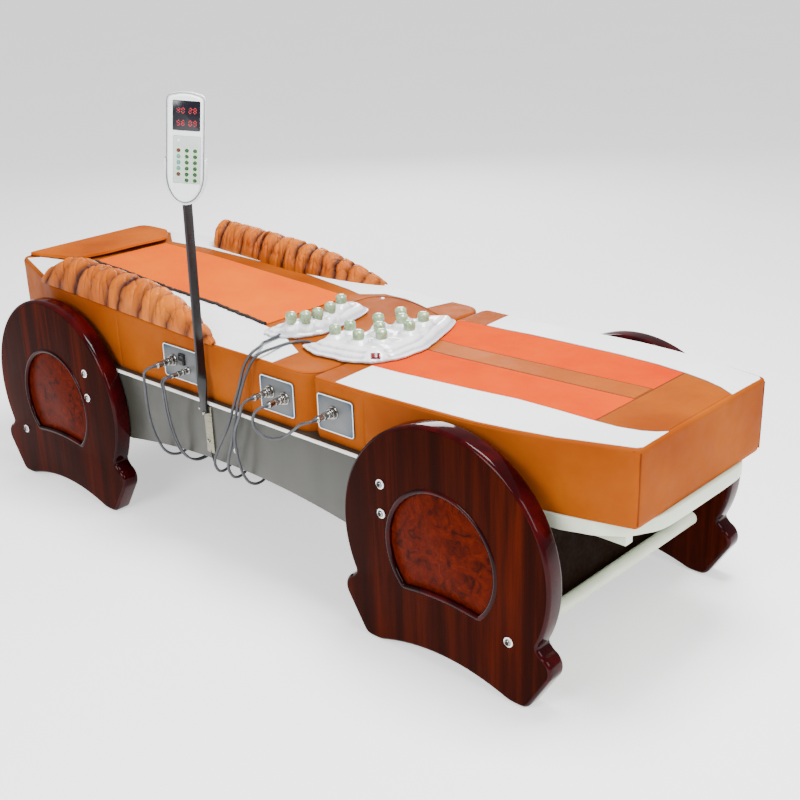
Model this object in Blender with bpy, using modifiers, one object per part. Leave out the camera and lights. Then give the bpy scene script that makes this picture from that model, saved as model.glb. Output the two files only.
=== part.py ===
"""Heated massage bed: a two-part upholstered couch on four wooden panel legs, with a roller
carriage inside the main section, a sliding foot section, two hand-held heated projectors and a
control handset on a pole.

Metres, +Z up. The origin is on the floor under the middle of the bed. +X runs to the foot end and
the handset pole stands on the -Y side, which is called near. The other side is called far.
"""

import math

import bmesh
import bpy
from mathutils import Matrix, Vector

# Clearances shared by all pieces
SEAT_GAP = 0.0003
SLIDE_GAP = 0.0005
OVERRUN = 0.004
WELD = 0.00001
SLIVER = 0.00004

# Bed plan: the main section, the seam gap, the foot section and the nose of its tray add up
MAIN_LENGTH = 1.203
SEAM_GAP = 0.004
FOOT_LENGTH = 0.744
TRAY_NOSE = 0.005
HALF_WIDTH = 0.283
HEAD_END_HALF = 0.200
HEAD_TAPER = 0.262
FOOT_END_HALF = 0.222
FOOT_TAPER = 0.355
SEAM_CORNER = 0.050
FOOT_SEAM_CORNER = 0.014
HEAD_CORNER = 0.016
BED_LENGTH = MAIN_LENGTH + SEAM_GAP + FOOT_LENGTH + TRAY_NOSE
HEAD_X = -BED_LENGTH / 2
MAIN_END_X = HEAD_X + MAIN_LENGTH
FOOT_START_X = MAIN_END_X + SEAM_GAP
FOOT_END_X = FOOT_START_X + FOOT_LENGTH

# Heights
RAIL_TOP = 0.3715
MATTRESS_BOTTOM = RAIL_TOP + SEAT_GAP
TOP_MIDDLE = 0.507
TOP_HEAD = 0.545
TOP_FOOT = 0.525
LEVEL_HEAD_MARGIN = 0.026
LEVEL_FOOT_MARGIN = 0.0455
EDGE_RADIUS = 0.012
SKIRT_TUCK = 0.008
SKIRT_HEIGHT = 0.014

# Leg panels
LEG_OUTER_Y = 0.345
LEG_THICKNESS = 0.045
LEG_INNER_Y = LEG_OUTER_Y - LEG_THICKNESS
LEG_HEAD_X = -0.664
LEG_FOOT_X = 0.620
LEG_DISC_RADIUS = 0.255
LEG_DISC_Z = 0.256
LEG_WAIST_Z = 0.140
LEG_KNOB_RADIUS = 0.032
LEG_KNOB_X = 0.228
LEG_KNOB_Z = 0.097
LEG_FOOT_OUTER = 0.205
LEG_FOOT_INNER = 0.165
LEG_ARCH_RISE = 0.029
LEG_EDGE_ROUND = 0.009
INLAY_RADIUS = 0.133
INLAY_Z = 0.247
INLAY_CHORD_DROP = 0.094
INLAY_ARCH_RISE = 0.008
POCKET_DEPTH = 0.010
INLAY_THICKNESS = 0.003

# Fasteners through the legs
BOLT_HOLE_RADIUS = 0.0046
BOLT_RADIUS = 0.004
HEAD_RADIUS = 0.010
HEAD_HEIGHT = 0.0047
RAIL_BOLT_INSET = 0.148
RAIL_BOLT_UPPER_Z = 0.358
RAIL_BOLT_LOWER_Z = 0.295
TUBE_INSET = 0.165
TUBE_Z = 0.131
TUBE_RADIUS = 0.015

# Side rails, end boards and the pan between them
RAIL_WALL = 0.003
RAIL_DEPTH = 0.038
RAIL_OUTER_Y = LEG_INNER_Y - SEAT_GAP
RAIL_INNER_Y = RAIL_OUTER_Y - RAIL_DEPTH
RAIL_BOTTOM = 0.200
RAIL_ARCH_RISE = 0.035
RAIL_ARCH_HALF = 0.390
CLIP_STUD_HEIGHT = 0.0025
CLIP_STUDS = ((-0.009, 0.3600, 0.0035), (-0.0125, 0.3410, 0.0035), (-0.0147, 0.2766, 0.0065))
END_BOARD_THICKNESS = 0.018
END_BOARD_BOTTOM = 0.117
END_BOARD_TOP = 0.3142
PAN_THICKNESS = 0.003
PAN_GLAND_RADIUS = 0.0055
PAN_GLAND_HEIGHT = 0.008
PAN_GLAND_Y = -0.243
PAN_GLAND_XS = (-0.254, -0.180, -0.100, -0.045, 0.0215)
BEARER_X = 0.475
BEARER_WIDTH = 0.030

TUBE_HEAD_X = LEG_HEAD_X - TUBE_INSET
TUBE_FOOT_X = LEG_FOOT_X + TUBE_INSET
BOARD_HEAD_OUTER_X = TUBE_HEAD_X + TUBE_RADIUS + SEAT_GAP
BOARD_FOOT_OUTER_X = TUBE_FOOT_X - TUBE_RADIUS - SEAT_GAP
RAIL_HEAD_X = BOARD_HEAD_OUTER_X + END_BOARD_THICKNESS + SEAT_GAP
RAIL_FOOT_X = BOARD_FOOT_OUTER_X - END_BOARD_THICKNESS - SEAT_GAP
RAIL_MIDDLE_X = (LEG_HEAD_X + LEG_FOOT_X) / 2
PAN_BOTTOM = RAIL_BOTTOM + RAIL_ARCH_RISE + RAIL_WALL + SEAT_GAP
PAN_TOP = PAN_BOTTOM + PAN_THICKNESS

# Covers, flap and bolsters on the main section
COVER_THICKNESS = 0.0023
COVER_HEAD_X = -0.795
COVER_FOOT_X = -0.095
COVER_NEAR_Y = -0.125
COVER_FAR_Y = 0.150
SLOT_HALF_WIDTH = 0.100
SLOT_HEAD_X = -0.780
SLOT_FOOT_X = -0.110
FLAP_THICKNESS = 0.005
FLAP_INSET = 0.006
FLAP_LENGTH = 0.172
FLAP_HALF_WIDTH = 0.165
FLAP_LIFT = 0.012
BOLSTER_HEAD_X = -0.752
BOLSTER_LENGTH = 0.668
BOLSTER_FAR_HEAD_X = -0.708
BOLSTER_FAR_LENGTH = 0.617
BOLSTER_FAR_SHARE = 0.93
BOLSTER_WIDTH = 0.092
BOLSTER_HEIGHT = 0.077
BOLSTER_OUTER_Y = 0.287
BOLSTER_PLEATS = 13
PLEAT_DEPTH = 0.006

# Foot section
FOOT_COVER_START = 0.010
FOOT_COVER_LENGTH = 0.592
FOOT_COVER_HALF = 0.155
TRAY_HEIGHT = 0.030
TRAY_RAIL_CLEARANCE = 0.003
TRAY_END_RADIUS = 0.155
RUNNER_WIDTH = 0.022
RUNNER_Y = 0.180
RUNNER_START_X = 0.300
RUNNER_END_X = 0.930
RUNNER_STRAP = 0.020
TRAY_BOTTOM = RAIL_TOP - TRAY_HEIGHT
TRAY_TOP = RAIL_TOP
FOOT_TRAVEL = 0.120

# Socket plates on the near wall and what is on them
PLATE_THICKNESS = 0.003
PLATE_HEIGHT = 0.080
PLATE_Z = 0.436
PLATE_CORNER = 0.008
PLATE_LEFT_X = -0.1935
PLATE_LEFT_WIDTH = 0.147
PLATE_MIDDLE_X = 0.1205
PLATE_MIDDLE_WIDTH = 0.105
PLATE_RIGHT_X = 0.2955
PLATE_RIGHT_WIDTH = 0.103
SOCKET_FLANGE_RADIUS = 0.0145
SOCKET_FLANGE_SMALL = 0.009
SOCKET_FLANGE = 0.003
SOCKET_STEP = 0.003
SOCKET_LENGTH = 0.010
PLUG_RADIUS = 0.0085
PLUG_RADIUS_SMALL = 0.0068
PLUG_RING = 0.0012
PLUG_GRIP = 0.020
PLUG_BODY = 0.032
PLUG_NECK_RADIUS = 0.0052
PLUG_LENGTH = 0.0467
SOCKET_LEFT_X = -0.231
SOCKET_LEFT_Z = 0.440
SOCKET_TWIN_X = -0.180
SOCKET_TWIN_Z = 0.4255
SOCKET_LINK_X = 0.100
SOCKET_LINK_Z = 0.442
SOCKET_JUMPER_MAIN_X = 0.145
SOCKET_JUMPER_MAIN_Z = 0.437
SOCKET_JUMPER_FOOT_X = 0.291
SOCKET_JUMPER_FOOT_Z = 0.442
BEZEL_X = -0.196
BEZEL_Z = 0.4495
BEZEL_WIDTH = 0.019
BEZEL_HEIGHT = 0.027
BEZEL_WALL = 0.002
BEZEL_DEPTH = 0.006
ROCKER_TILT = math.radians(6)
ROCKER_THICKNESS = 0.005
WALL_Y = -HALF_WIDTH
PLATE_BACK_Y = WALL_Y - SEAT_GAP
PLATE_FACE_Y = PLATE_BACK_Y - PLATE_THICKNESS
SOCKET_TIP_Y = PLATE_FACE_Y - SOCKET_LENGTH
PLUG_BACK_Y = SOCKET_TIP_Y - SEAT_GAP
PLUG_TIP_Y = PLUG_BACK_Y - PLUG_LENGTH

# Pole and its foot bracket
POLE_WIDTH = 0.022
POLE_THICKNESS = 0.007
POLE_X = -0.107
POLE_LEAN = math.radians(1.25)
POLE_TOP_Z = 0.842
POLE_TWIST_LOW = 0.372
POLE_TWIST_HIGH = 0.462
BRACKET_X = -0.101
BRACKET_WIDTH = 0.026
BRACKET_BOTTOM = 0.250
BRACKET_TOP = 0.362
BRACKET_THICKNESS = 0.003
BRACKET_LAP = 0.014
BRACKET_SCREW_RADIUS = 0.0035
BRACKET_SCREW_HEIGHT = 0.002
BRACKET_SCREW_INSET = 0.028
PEG_X = -0.1225
PEG_RADIUS = 0.003
PEG_LENGTH = 0.006
SPIGOT_RADIUS = 0.005
SPIGOT_LENGTH = 0.050
POLE_BACK_Y = -RAIL_OUTER_Y - SEAT_GAP - BRACKET_THICKNESS
POLE_MIDDLE_Y = POLE_BACK_Y - POLE_THICKNESS / 2

# Handset and its holder, drawn facing the viewer
FACING = math.radians(43)
HANDSET_ROLL = math.radians(5.8)
HANDSET_WIDTH = 0.0775
HANDSET_HEIGHT = 0.225
HANDSET_DEPTH = 0.028
HANDSET_ROUND = 0.004
HANDSET_TOP_CORNER = 0.012
HANDSET_CROWN = 0.004
HANDSET_BOWL = 0.060
HANDSET_OFFSET = 0.0015
HANDSET_BASE_Z = 0.834
HOLDER_WALL = 0.004
HOLDER_HEIGHT = 0.091
HOLDER_BACK = 0.003
HOLDER_SIDE_DEPTH = 0.020
BARREL_RADIUS = 0.009
BARREL_LENGTH = 0.055
BARREL_STANDOFF = 0.004
HANDSET_LIFT = 0.110
DISPLAY_WIDTH = 0.055
DISPLAY_HEIGHT = 0.0595
DISPLAY_X = 0.0029
DISPLAY_UP = 0.1798
DISPLAY_DEPTH = 0.0017
KEYPAD_WIDTH = 0.0555
KEYPAD_HEIGHT = 0.0968
KEYPAD_X = 0.0042
KEYPAD_UP = 0.0909
KEYPAD_THICKNESS = 0.0015
KEYPAD_CAVITY = 0.0030
KEY_PITCH_X = 0.01675
KEY_PITCH_Y = 0.01217
KEY_TOP_UP = 0.1097
KEY_ROWS = 6
KEY_LEFT_ROWS = 5
KEY_RADIUS = 0.0036
KEY_PROUD = 0.0016
KEY_WEB = 0.0010
KEY_WEB_WIDTH = 0.0105
KEY_WEB_MARGIN = 0.0044
KEY_TRAVEL = 0.0008

# Projectors lying on the bed
HAND_X = 0.005
HAND_Y = -0.0345
HAND_WIDTH = 0.120
HAND_LENGTH = 0.275
LARGE_X = 0.205
LARGE_Y = -0.021
LARGE_WIDTH = 0.225
LARGE_LENGTH = 0.350
CASE_HEIGHT = 0.0303
CASE_WALL = 0.004
CASE_FOOT_INSET = 0.004
CASE_SHOULDER_INSET = 0.007
CASE_DECK_INSET = 0.014
POCKET_HEIGHT = 0.016
STONE_RADIUS = 0.0125
STONE_HEIGHT = 0.020
STONE_DOME = 0.009
STONE_COLLAR_WALL = 0.003
STONE_COLLAR_HEIGHT = 0.006
CARRIER_THICKNESS = 0.004
STONE_TURN = Matrix.Rotation(math.radians(11), 4, "Z")
RELIEF_RADIUS = 0.0045
RELIEF_LENGTH = 0.046
SWITCH_LENGTH = 0.018
SWITCH_WIDTH = 0.012
SWITCH_PROUD = 0.003
SWITCH_DEPTH = 0.007
SWITCH_SLOPE = math.radians(35)
PROJECTOR_LIFT = 0.060

# The bed's top is level where the projectors rest
LEVEL_HEAD_X = HAND_X - HAND_WIDTH / 2 - LEVEL_HEAD_MARGIN
LEVEL_FOOT_X = LARGE_X + LARGE_WIDTH / 2 + LEVEL_FOOT_MARGIN

# Roller drive inside the main section
GUIDE_HEAD_X = -0.785
GUIDE_FOOT_X = -0.065
GUIDE_PLATE = 0.010
GUIDE_PLATE_HALF = 0.140
GUIDE_PLATE_TOP = 0.330
GUIDE_ROD_Y = 0.110
GUIDE_ROD_Z = 0.298
GUIDE_ROD_RADIUS = 0.008
SCREW_RADIUS = 0.007
SCREW_JOURNAL_RADIUS = 0.005
CARRIAGE_X = -0.430
CARRIAGE_LENGTH = 0.160
CARRIAGE_HALF_WIDTH = 0.130
CARRIAGE_BOTTOM = 0.284
CARRIAGE_TOP = 0.313
CARRIAGE_TRAVEL = 0.250
LIFT_PIN_RADIUS = 0.006
LIFT_PIN_X = 0.060
LIFT_PIN_Y = 0.050
LIFT_PIN_LENGTH = 0.024
YOKE_BASE = 0.008
YOKE_LENGTH = 0.140
YOKE_HALF_WIDTH = 0.078
YOKE_CHEEK = 0.008
YOKE_CHEEK_LENGTH = 0.124
YOKE_TOP = 0.456
ROLLER_AXLE_Z = 0.445
ROLLER_SPACING = 0.090
ROLLER_RADIUS = 0.030
ROLLER_WIDTH = 0.036
ROLLER_Y = 0.045
ROLLER_GROOVE = 0.004
AXLE_RADIUS = 0.006
LIFT_TRAVEL = 0.028
MOTOR_RADIUS = 0.028
MOTOR_LENGTH = 0.095
BOX_X = 0.235
BOX_LENGTH = 0.200
BOX_HALF_WIDTH = 0.110
BOX_HEIGHT = 0.065

# Cords
CORD_RADIUS = 0.0025
TWIN_CORD_RADIUS = 0.0035
CORD_SPACING = 0.0145

# Unit shapes, in shares of the sizes they follow
HAND_OUTLINE_SHARES = (
    (-0.21, -0.50), (0.13, -0.455), (0.375, -0.345), (0.51, -0.20), (0.49, -0.04), (0.425, 0.145),
    (0.34, 0.325), (0.21, 0.455), (-0.02, 0.50), (-0.275, 0.48), (-0.415, 0.38), (-0.375, 0.235),
    (-0.25, 0.07), (-0.19, -0.055), (-0.24, -0.185), (-0.39, -0.295), (-0.50, -0.40), (-0.415, -0.485),
)
HAND_STONE_SHARES = ((0.06, -0.365), (0.24, -0.28), (0.287, -0.163), (0.215, 0.01), (0.02, 0.22))
LARGE_OUTLINE_SHARES = (
    (-0.50, -0.443), (-0.285, -0.50), (0.0, -0.49), (0.20, -0.463), (0.365, -0.389), (0.467, -0.269),
    (0.50, -0.074), (0.45, 0.089), (0.387, 0.203), (0.289, 0.374), (0.19, 0.489), (0.075, 0.50),
    (-0.067, 0.437), (-0.12, 0.331), (-0.21, 0.231), (-0.173, 0.117), (-0.245, 0.003), (-0.298, -0.14),
    (-0.387, -0.226), (-0.413, -0.34),
)
LARGE_SWITCH_SHARES = (0.345, -0.365, 0.52)
LARGE_STONE_SHARES = (
    (-0.227, -0.334), (-0.200, -0.222), (0.062, -0.32), (-0.131, -0.014), (0.058, -0.131),
    (0.222, -0.226), (-0.088, 0.163), (0.055, 0.074), (0.258, 0.0), (0.187, 0.18),
)
STONE_CROWN_SHARES = ((0.0, 0.0), (0.62, 0.16), (0.90, 0.50), (1.0, 1.0))
FOOT_PLAN_SHARES = ((0.0, 1.0), (0.25, 0.93), (0.50, 0.815), (0.75, 0.62), (0.90, 0.50), (1.0, 0.2))

# Cord routes
LEFT_LEAD_ROUTE = (
    (-0.231, -0.3436, 0.440), (-0.231, -0.3510, 0.440), (-0.2385, -0.3590, 0.4340),
    (-0.2520, -0.3560, 0.4140), (-0.2655, -0.3470, 0.3860), (-0.2790, -0.3380, 0.3480),
    (-0.2870, -0.3300, 0.3040), (-0.2850, -0.3240, 0.2640), (-0.2750, -0.3180, 0.2330),
    (-0.2660, -0.3060, 0.2075), (-0.2590, -0.2860, 0.1965), (-0.2550, -0.2620, 0.1985),
    (-0.2540, -0.2470, 0.2080), (-0.2540, -0.2430, 0.2190), (-0.2540, -0.2430, 0.2300),
)
TWIN_LEAD_ROUTE = (
    (-0.180, -0.3436, 0.4255), (-0.180, -0.3510, 0.4255), (-0.1800, -0.3585, 0.4190),
    (-0.1845, -0.3545, 0.3985), (-0.1968, -0.3450, 0.3690), (-0.2065, -0.3350, 0.3300),
    (-0.2090, -0.3270, 0.2900), (-0.2030, -0.3200, 0.2540), (-0.1950, -0.3110, 0.2260),
    (-0.1880, -0.2930, 0.2060), (-0.1830, -0.2700, 0.2010), (-0.1800, -0.2490, 0.2080),
    (-0.1800, -0.2430, 0.2190), (-0.1800, -0.2430, 0.2300),
)
HAND_LEAD_ROUTE = (
    (-0.1000, -0.2430, 0.2300), (-0.1000, -0.2430, 0.2190), (-0.0985, -0.2480, 0.2080),
    (-0.0960, -0.2640, 0.1990), (-0.0900, -0.2870, 0.2010), (-0.0820, -0.3060, 0.2180),
    (-0.0720, -0.3170, 0.2420), (-0.0595, -0.3200, 0.2656), (-0.0343, -0.3210, 0.3051),
    (-0.0107, -0.3200, 0.3443), (0.0085, -0.3170, 0.3893), (0.0268, -0.3100, 0.4420),
    (0.0366, -0.3000, 0.4854), (0.0415, -0.2890, 0.5035), (0.0440, -0.2780, 0.5115),
    (0.0425, -0.2650, 0.5112), (0.0330, -0.2460, 0.5108), (0.0180, -0.2290, 0.5115),
    (0.0090, -0.2188, 0.5130), (0.0065, -0.2055, 0.5130),
)
LARGE_LEAD_ROUTE = (
    (-0.0450, -0.2430, 0.2300), (-0.0450, -0.2430, 0.2190), (-0.0440, -0.2480, 0.2080),
    (-0.0420, -0.2650, 0.1990), (-0.0370, -0.2890, 0.2020), (-0.0300, -0.3080, 0.2200),
    (-0.0230, -0.3190, 0.2450), (-0.0151, -0.3220, 0.2670), (0.0014, -0.3240, 0.3062),
    (0.0140, -0.3230, 0.3503), (0.0262, -0.3200, 0.3942), (0.0393, -0.3120, 0.4462),
    (0.0528, -0.3000, 0.4885), (0.0605, -0.2900, 0.5060), (0.0670, -0.2780, 0.5125),
    (0.0690, -0.2620, 0.5112), (0.0610, -0.2420, 0.5106), (0.0520, -0.2190, 0.5106),
    (0.0480, -0.1960, 0.5106), (0.0520, -0.1740, 0.5108), (0.0645, -0.1595, 0.5120),
    (0.0840, -0.1540, 0.5135), (0.0985, -0.1545, 0.5135),
)
LINK_LEAD_ROUTE = (
    (0.100, -0.3436, 0.442), (0.100, -0.3510, 0.442), (0.0945, -0.3590, 0.4340),
    (0.0800, -0.3550, 0.4100), (0.0611, -0.3480, 0.3850), (0.0410, -0.3410, 0.3570),
    (0.0270, -0.3340, 0.3270), (0.0220, -0.3280, 0.2950), (0.0215, -0.3220, 0.2620),
    (0.0215, -0.3110, 0.2290), (0.0215, -0.2930, 0.2060), (0.0215, -0.2680, 0.1990),
    (0.0215, -0.2490, 0.2070), (0.0215, -0.2430, 0.2190), (0.0215, -0.2430, 0.2300),
)
JUMPER_LEAD_ROUTE = (
    (0.145, -0.3436, 0.437), (0.145, -0.3510, 0.437), (0.1390, -0.3590, 0.4320),
    (0.1275, -0.3600, 0.4170), (0.1195, -0.3560, 0.4000), (0.1200, -0.3515, 0.3840),
    (0.1330, -0.3465, 0.3710), (0.1580, -0.3430, 0.3685), (0.1850, -0.3430, 0.3760),
    (0.2085, -0.3450, 0.3890), (0.2350, -0.3500, 0.4080), (0.2600, -0.3565, 0.4270),
    (0.2790, -0.3590, 0.4385), (0.291, -0.3510, 0.442), (0.291, -0.3436, 0.442),
)
HAND_RELIEF_AIM = (0.15, -1.0)
LARGE_RELIEF_AIM = (-1.0, 0.05)

COLOURS = {
    "dark_wood": ((0.075, 0.018, 0.010), 0.25, 0.0),
    "burl": ((0.30, 0.065, 0.012), 0.25, 0.0),
    "grey_metal": ((0.22, 0.23, 0.21), 0.4, 0.6),
    "ivory_enamel": ((0.68, 0.74, 0.62), 0.4, 0.0),
    "ivory_panel": ((0.68, 0.74, 0.62), 0.4, 0.0),
    "bottom_board": ((0.045, 0.030, 0.018), 0.7, 0.0),
    "tan_leather": ((0.52, 0.16, 0.035), 0.45, 0.0),
    "padded_leather": ((0.52, 0.16, 0.035), 0.45, 0.0),
    "orange_cloth": ((0.95, 0.24, 0.06), 0.85, 0.0),
    "plate_blue": ((0.30, 0.38, 0.41), 0.35, 0.7),
    "chrome": ((0.75, 0.75, 0.75), 0.12, 1.0),
    "black_plastic": ((0.015, 0.015, 0.017), 0.35, 0.0),
    "white_plastic": ((0.76, 0.79, 0.78), 0.3, 0.0),
    "red_plastic": ((0.25, 0.01, 0.03), 0.3, 0.0),
    "keypad_grey": ((0.50, 0.56, 0.52), 0.45, 0.0),
    "green_rubber": ((0.06, 0.24, 0.09), 0.5, 0.0),
    "blue_rubber": ((0.12, 0.28, 0.36), 0.5, 0.0),
    "jade": ((0.36, 0.48, 0.31), 0.2, 0.0),
    "steel": ((0.45, 0.45, 0.45), 0.3, 1.0),
    "grey_cable": ((0.12, 0.125, 0.13), 0.5, 0.0),
}


def clear_scene():
    for obj in list(bpy.data.objects):
        bpy.data.objects.remove(obj, do_unlink=True)


def new_collection(name, hidden=False):
    made = bpy.data.collections.new(name)
    bpy.context.scene.collection.children.link(made)
    made.hide_render = hidden
    return made


def material(name):
    found = bpy.data.materials.get(name)
    if found:
        return found
    colour, roughness, metallic = COLOURS[name]
    made = bpy.data.materials.new(name)
    made.use_nodes = True
    shader = made.node_tree.nodes["Principled BSDF"]
    shader.inputs["Base Color"].default_value = (*colour, 1.0)
    shader.inputs["Roughness"].default_value = roughness
    shader.inputs["Metallic"].default_value = metallic
    return made


clear_scene()
PARTS = new_collection("heated_massage_bed")
CUTTERS = new_collection("cutters", hidden=True)


def as_object(name, work, collection=None):
    """The bmesh as an object, its faces pointing out; without a collection it is a cutter."""
    bmesh.ops.remove_doubles(work, verts=work.verts, dist=WELD)
    bmesh.ops.recalc_face_normals(work, faces=work.faces)
    mesh = bpy.data.meshes.new(name)
    work.to_mesh(mesh)
    work.free()
    obj = bpy.data.objects.new(name, mesh)
    (collection or CUTTERS).objects.link(obj)
    if collection is None:
        obj.hide_render = True
        obj.display_type = "WIRE"
    return obj


def as_part(obj, name, finish, parent=None):
    """Names the object as a sub-part, gives it its finish and hangs it on its axis empty."""
    if obj.name not in PARTS.objects:
        CUTTERS.objects.unlink(obj)
        PARTS.objects.link(obj)
    obj.name = name
    obj.data.name = name
    obj.hide_render = False
    obj.display_type = "TEXTURED"
    obj.data.materials.clear()
    obj.data.materials.append(material(finish))
    if obj.type == "MESH":
        obj.data.shade_smooth()
        obj.data.set_sharp_from_angle(angle=math.radians(35))
    if parent:
        bpy.context.view_layer.update()
        obj.parent = parent
        obj.matrix_parent_inverse = parent.matrix_world.inverted()
    return obj


def axis_empty(name, place, parent=None):
    made = bpy.data.objects.new(name, None)
    PARTS.objects.link(made)
    made.location = place
    made.empty_display_size = 0.05
    if parent:
        bpy.context.view_layer.update()
        made.parent = parent
        made.matrix_parent_inverse = parent.matrix_world.inverted()
    bpy.context.view_layer.update()
    return made


def bake(source, matrix=None):
    """The evaluated shape of the source as a bmesh, welded and placed; the source is removed."""
    bpy.context.view_layer.update()
    graph = bpy.context.evaluated_depsgraph_get()
    mesh = bpy.data.meshes.new_from_object(source.evaluated_get(graph))
    work = bmesh.new()
    work.from_mesh(mesh)
    bmesh.ops.remove_doubles(work, verts=work.verts, dist=WELD)
    if matrix is not None:
        bmesh.ops.transform(work, matrix=matrix, verts=work.verts)
    bpy.data.meshes.remove(mesh)
    bpy.data.objects.remove(source, do_unlink=True)
    return work


def box(low, high, matrix=None):
    work = bmesh.new()
    bmesh.ops.create_cube(work, size=1.0)
    size = [b - a for a, b in zip(low, high)]
    middle = [(a + b) / 2 for a, b in zip(low, high)]
    bmesh.ops.scale(work, vec=size, verts=work.verts)
    bmesh.ops.translate(work, vec=middle, verts=work.verts)
    if matrix is not None:
        bmesh.ops.transform(work, matrix=matrix, verts=work.verts)
    return as_object("box", work)


def flat(outline, thickness, matrix, holes=()):
    """A flat outline with holes, from local z = 0 up to its thickness, placed by the matrix."""
    curve = bpy.data.curves.new("outline", "CURVE")
    curve.dimensions = "2D"
    curve.fill_mode = "BOTH"
    curve.extrude = thickness / 2
    for loop in (outline, *holes):
        spline = curve.splines.new("POLY")
        spline.points.add(len(loop) - 1)
        for point, (x, y) in zip(spline.points, loop):
            point.co = (x, y, 0.0, 1.0)
        spline.use_cyclic_u = True
    source = bpy.data.objects.new("outline", curve)
    CUTTERS.objects.link(source)
    work = bake(source, matrix @ Matrix.Translation((0.0, 0.0, thickness / 2)))
    return as_object("flat", work)


def turned(profile, steps, matrix):
    """A shape turned about local Z from (radius, height) points that run from top to bottom."""
    mesh = bpy.data.meshes.new("profile")
    points = [(radius, 0.0, height) for radius, height in profile]
    mesh.from_pydata(points, [(i, i + 1) for i in range(len(points) - 1)], [])
    source = bpy.data.objects.new("profile", mesh)
    CUTTERS.objects.link(source)
    screw = source.modifiers.new("turn", "SCREW")
    screw.steps = steps
    screw.render_steps = steps
    screw.use_merge_vertices = True
    screw.merge_threshold = WELD
    return as_object("turned", bake(source, matrix))


def loft(rings):
    """A closed solid through rings of as many points each, with flat ends."""
    work = bmesh.new()
    rows = [[work.verts.new(point) for point in ring] for ring in rings]
    count = len(rows[0])
    for before, after in zip(rows, rows[1:]):
        for i in range(count):
            j = (i + 1) % count
            work.faces.new((before[i], before[j], after[j], after[i]))
    work.faces.new(rows[0])
    work.faces.new(rows[-1])
    return as_object("loft", work)


def joined(pieces):
    """Several objects as one, each still a body of its own."""
    work = bmesh.new()
    for piece in pieces:
        work.from_mesh(piece.data)
        bpy.data.objects.remove(piece, do_unlink=True)
    return as_object("joined", work)


def boolean(obj, other, operation):
    change = obj.modifiers.new(operation.lower(), "BOOLEAN")
    change.operation = operation
    change.object = other
    change.solver = "EXACT"


def cut(obj, *cutters):
    for cutter in cutters:
        boolean(obj, cutter, "DIFFERENCE")
    return obj


def weld(obj, *others):
    for other in others:
        boolean(obj, other, "UNION")
    return obj


def settle(obj):
    """Draws the slivers that a row of cuts leaves together."""
    change = obj.modifiers.new("settle", "WELD")
    change.merge_threshold = SLIVER
    return obj


def round_edges(obj, width, segments=2, angle=50):
    change = obj.modifiers.new("round", "BEVEL")
    change.width = width
    change.segments = segments
    change.limit_method = "ANGLE"
    change.angle_limit = math.radians(angle)
    return obj


def rod(radius, start, end, steps=16):
    """A plain round bar between two points."""
    along = Vector(end) - Vector(start)
    turn = along.to_track_quat("Z", "Y").to_matrix().to_4x4()
    profile = ((0.0, along.length), (radius, along.length), (radius, 0.0), (0.0, 0.0))
    return turned(profile, steps, Matrix.Translation(start) @ turn)


def arc(centre_x, centre_y, radius, start, stop, steps):
    """Points on an arc, from one angle to another in degrees."""
    angles = [math.radians(start + (stop - start) * i / steps) for i in range(steps + 1)]
    return [(centre_x + radius * math.cos(a), centre_y + radius * math.sin(a)) for a in angles]


def rounded_rectangle(width, height, corner, steps=3):
    x, y = width / 2 - corner, height / 2 - corner
    corners = ((x, y, 0), (-x, y, 90), (-x, -y, 180), (x, -y, 270))
    points = []
    for cx, cy, start in corners:
        points += arc(cx, cy, corner, start, start + 90, steps)
    return points


def circle(x, y, radius, steps=12):
    return arc(x, y, radius, 0, 360, steps)[:-1]


def facing_near(x, y, z):
    """A drawing plane seen from the near side: local X is +X, local Y is up, local Z is -Y."""
    return Matrix.Translation((x, y, z)) @ Matrix.Rotation(math.radians(90), 4, "X")


def top_z(x):
    """Height of the bed's top along its length: level in the middle, rising to both ends."""
    if x < LEVEL_HEAD_X:
        return TOP_MIDDLE + (TOP_HEAD - TOP_MIDDLE) * (LEVEL_HEAD_X - x) / (LEVEL_HEAD_X - HEAD_X)
    if x > LEVEL_FOOT_X:
        return TOP_MIDDLE + (TOP_FOOT - TOP_MIDDLE) * (x - LEVEL_FOOT_X) / (FOOT_END_X - LEVEL_FOOT_X)
    return TOP_MIDDLE


# Upholstered sections


def section_ring(x, half):
    """One cross-section of an upholstered block: tucked skirt, upright wall, rounded top edge."""
    top = top_z(x)
    side = [
        (half - SKIRT_TUCK, MATTRESS_BOTTOM),
        (half, MATTRESS_BOTTOM + SKIRT_HEIGHT),
    ]
    side += arc(half - EDGE_RADIUS, top - EDGE_RADIUS, EDGE_RADIUS, 0, 90, 2)
    ring = [Vector((x, y, z)) for y, z in side]
    ring += [Vector((x, -y, z)) for y, z in reversed(side)]
    return ring


def main_plan():
    """(x, half width) of the main section from its head end to its seam."""
    slope = (HALF_WIDTH - HEAD_END_HALF) / HEAD_TAPER
    plan = [(HEAD_X, HEAD_END_HALF - HEAD_CORNER)]
    plan.append((HEAD_X + HEAD_CORNER, HEAD_END_HALF + slope * HEAD_CORNER))
    plan.append((HEAD_X + HEAD_TAPER, HALF_WIDTH))
    plan.append((LEVEL_HEAD_X, HALF_WIDTH))
    corner_x = MAIN_END_X - SEAM_CORNER
    corner_y = HALF_WIDTH - SEAM_CORNER
    plan += reversed(arc(corner_x, corner_y, SEAM_CORNER, 0, 90, 4))
    return plan


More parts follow.
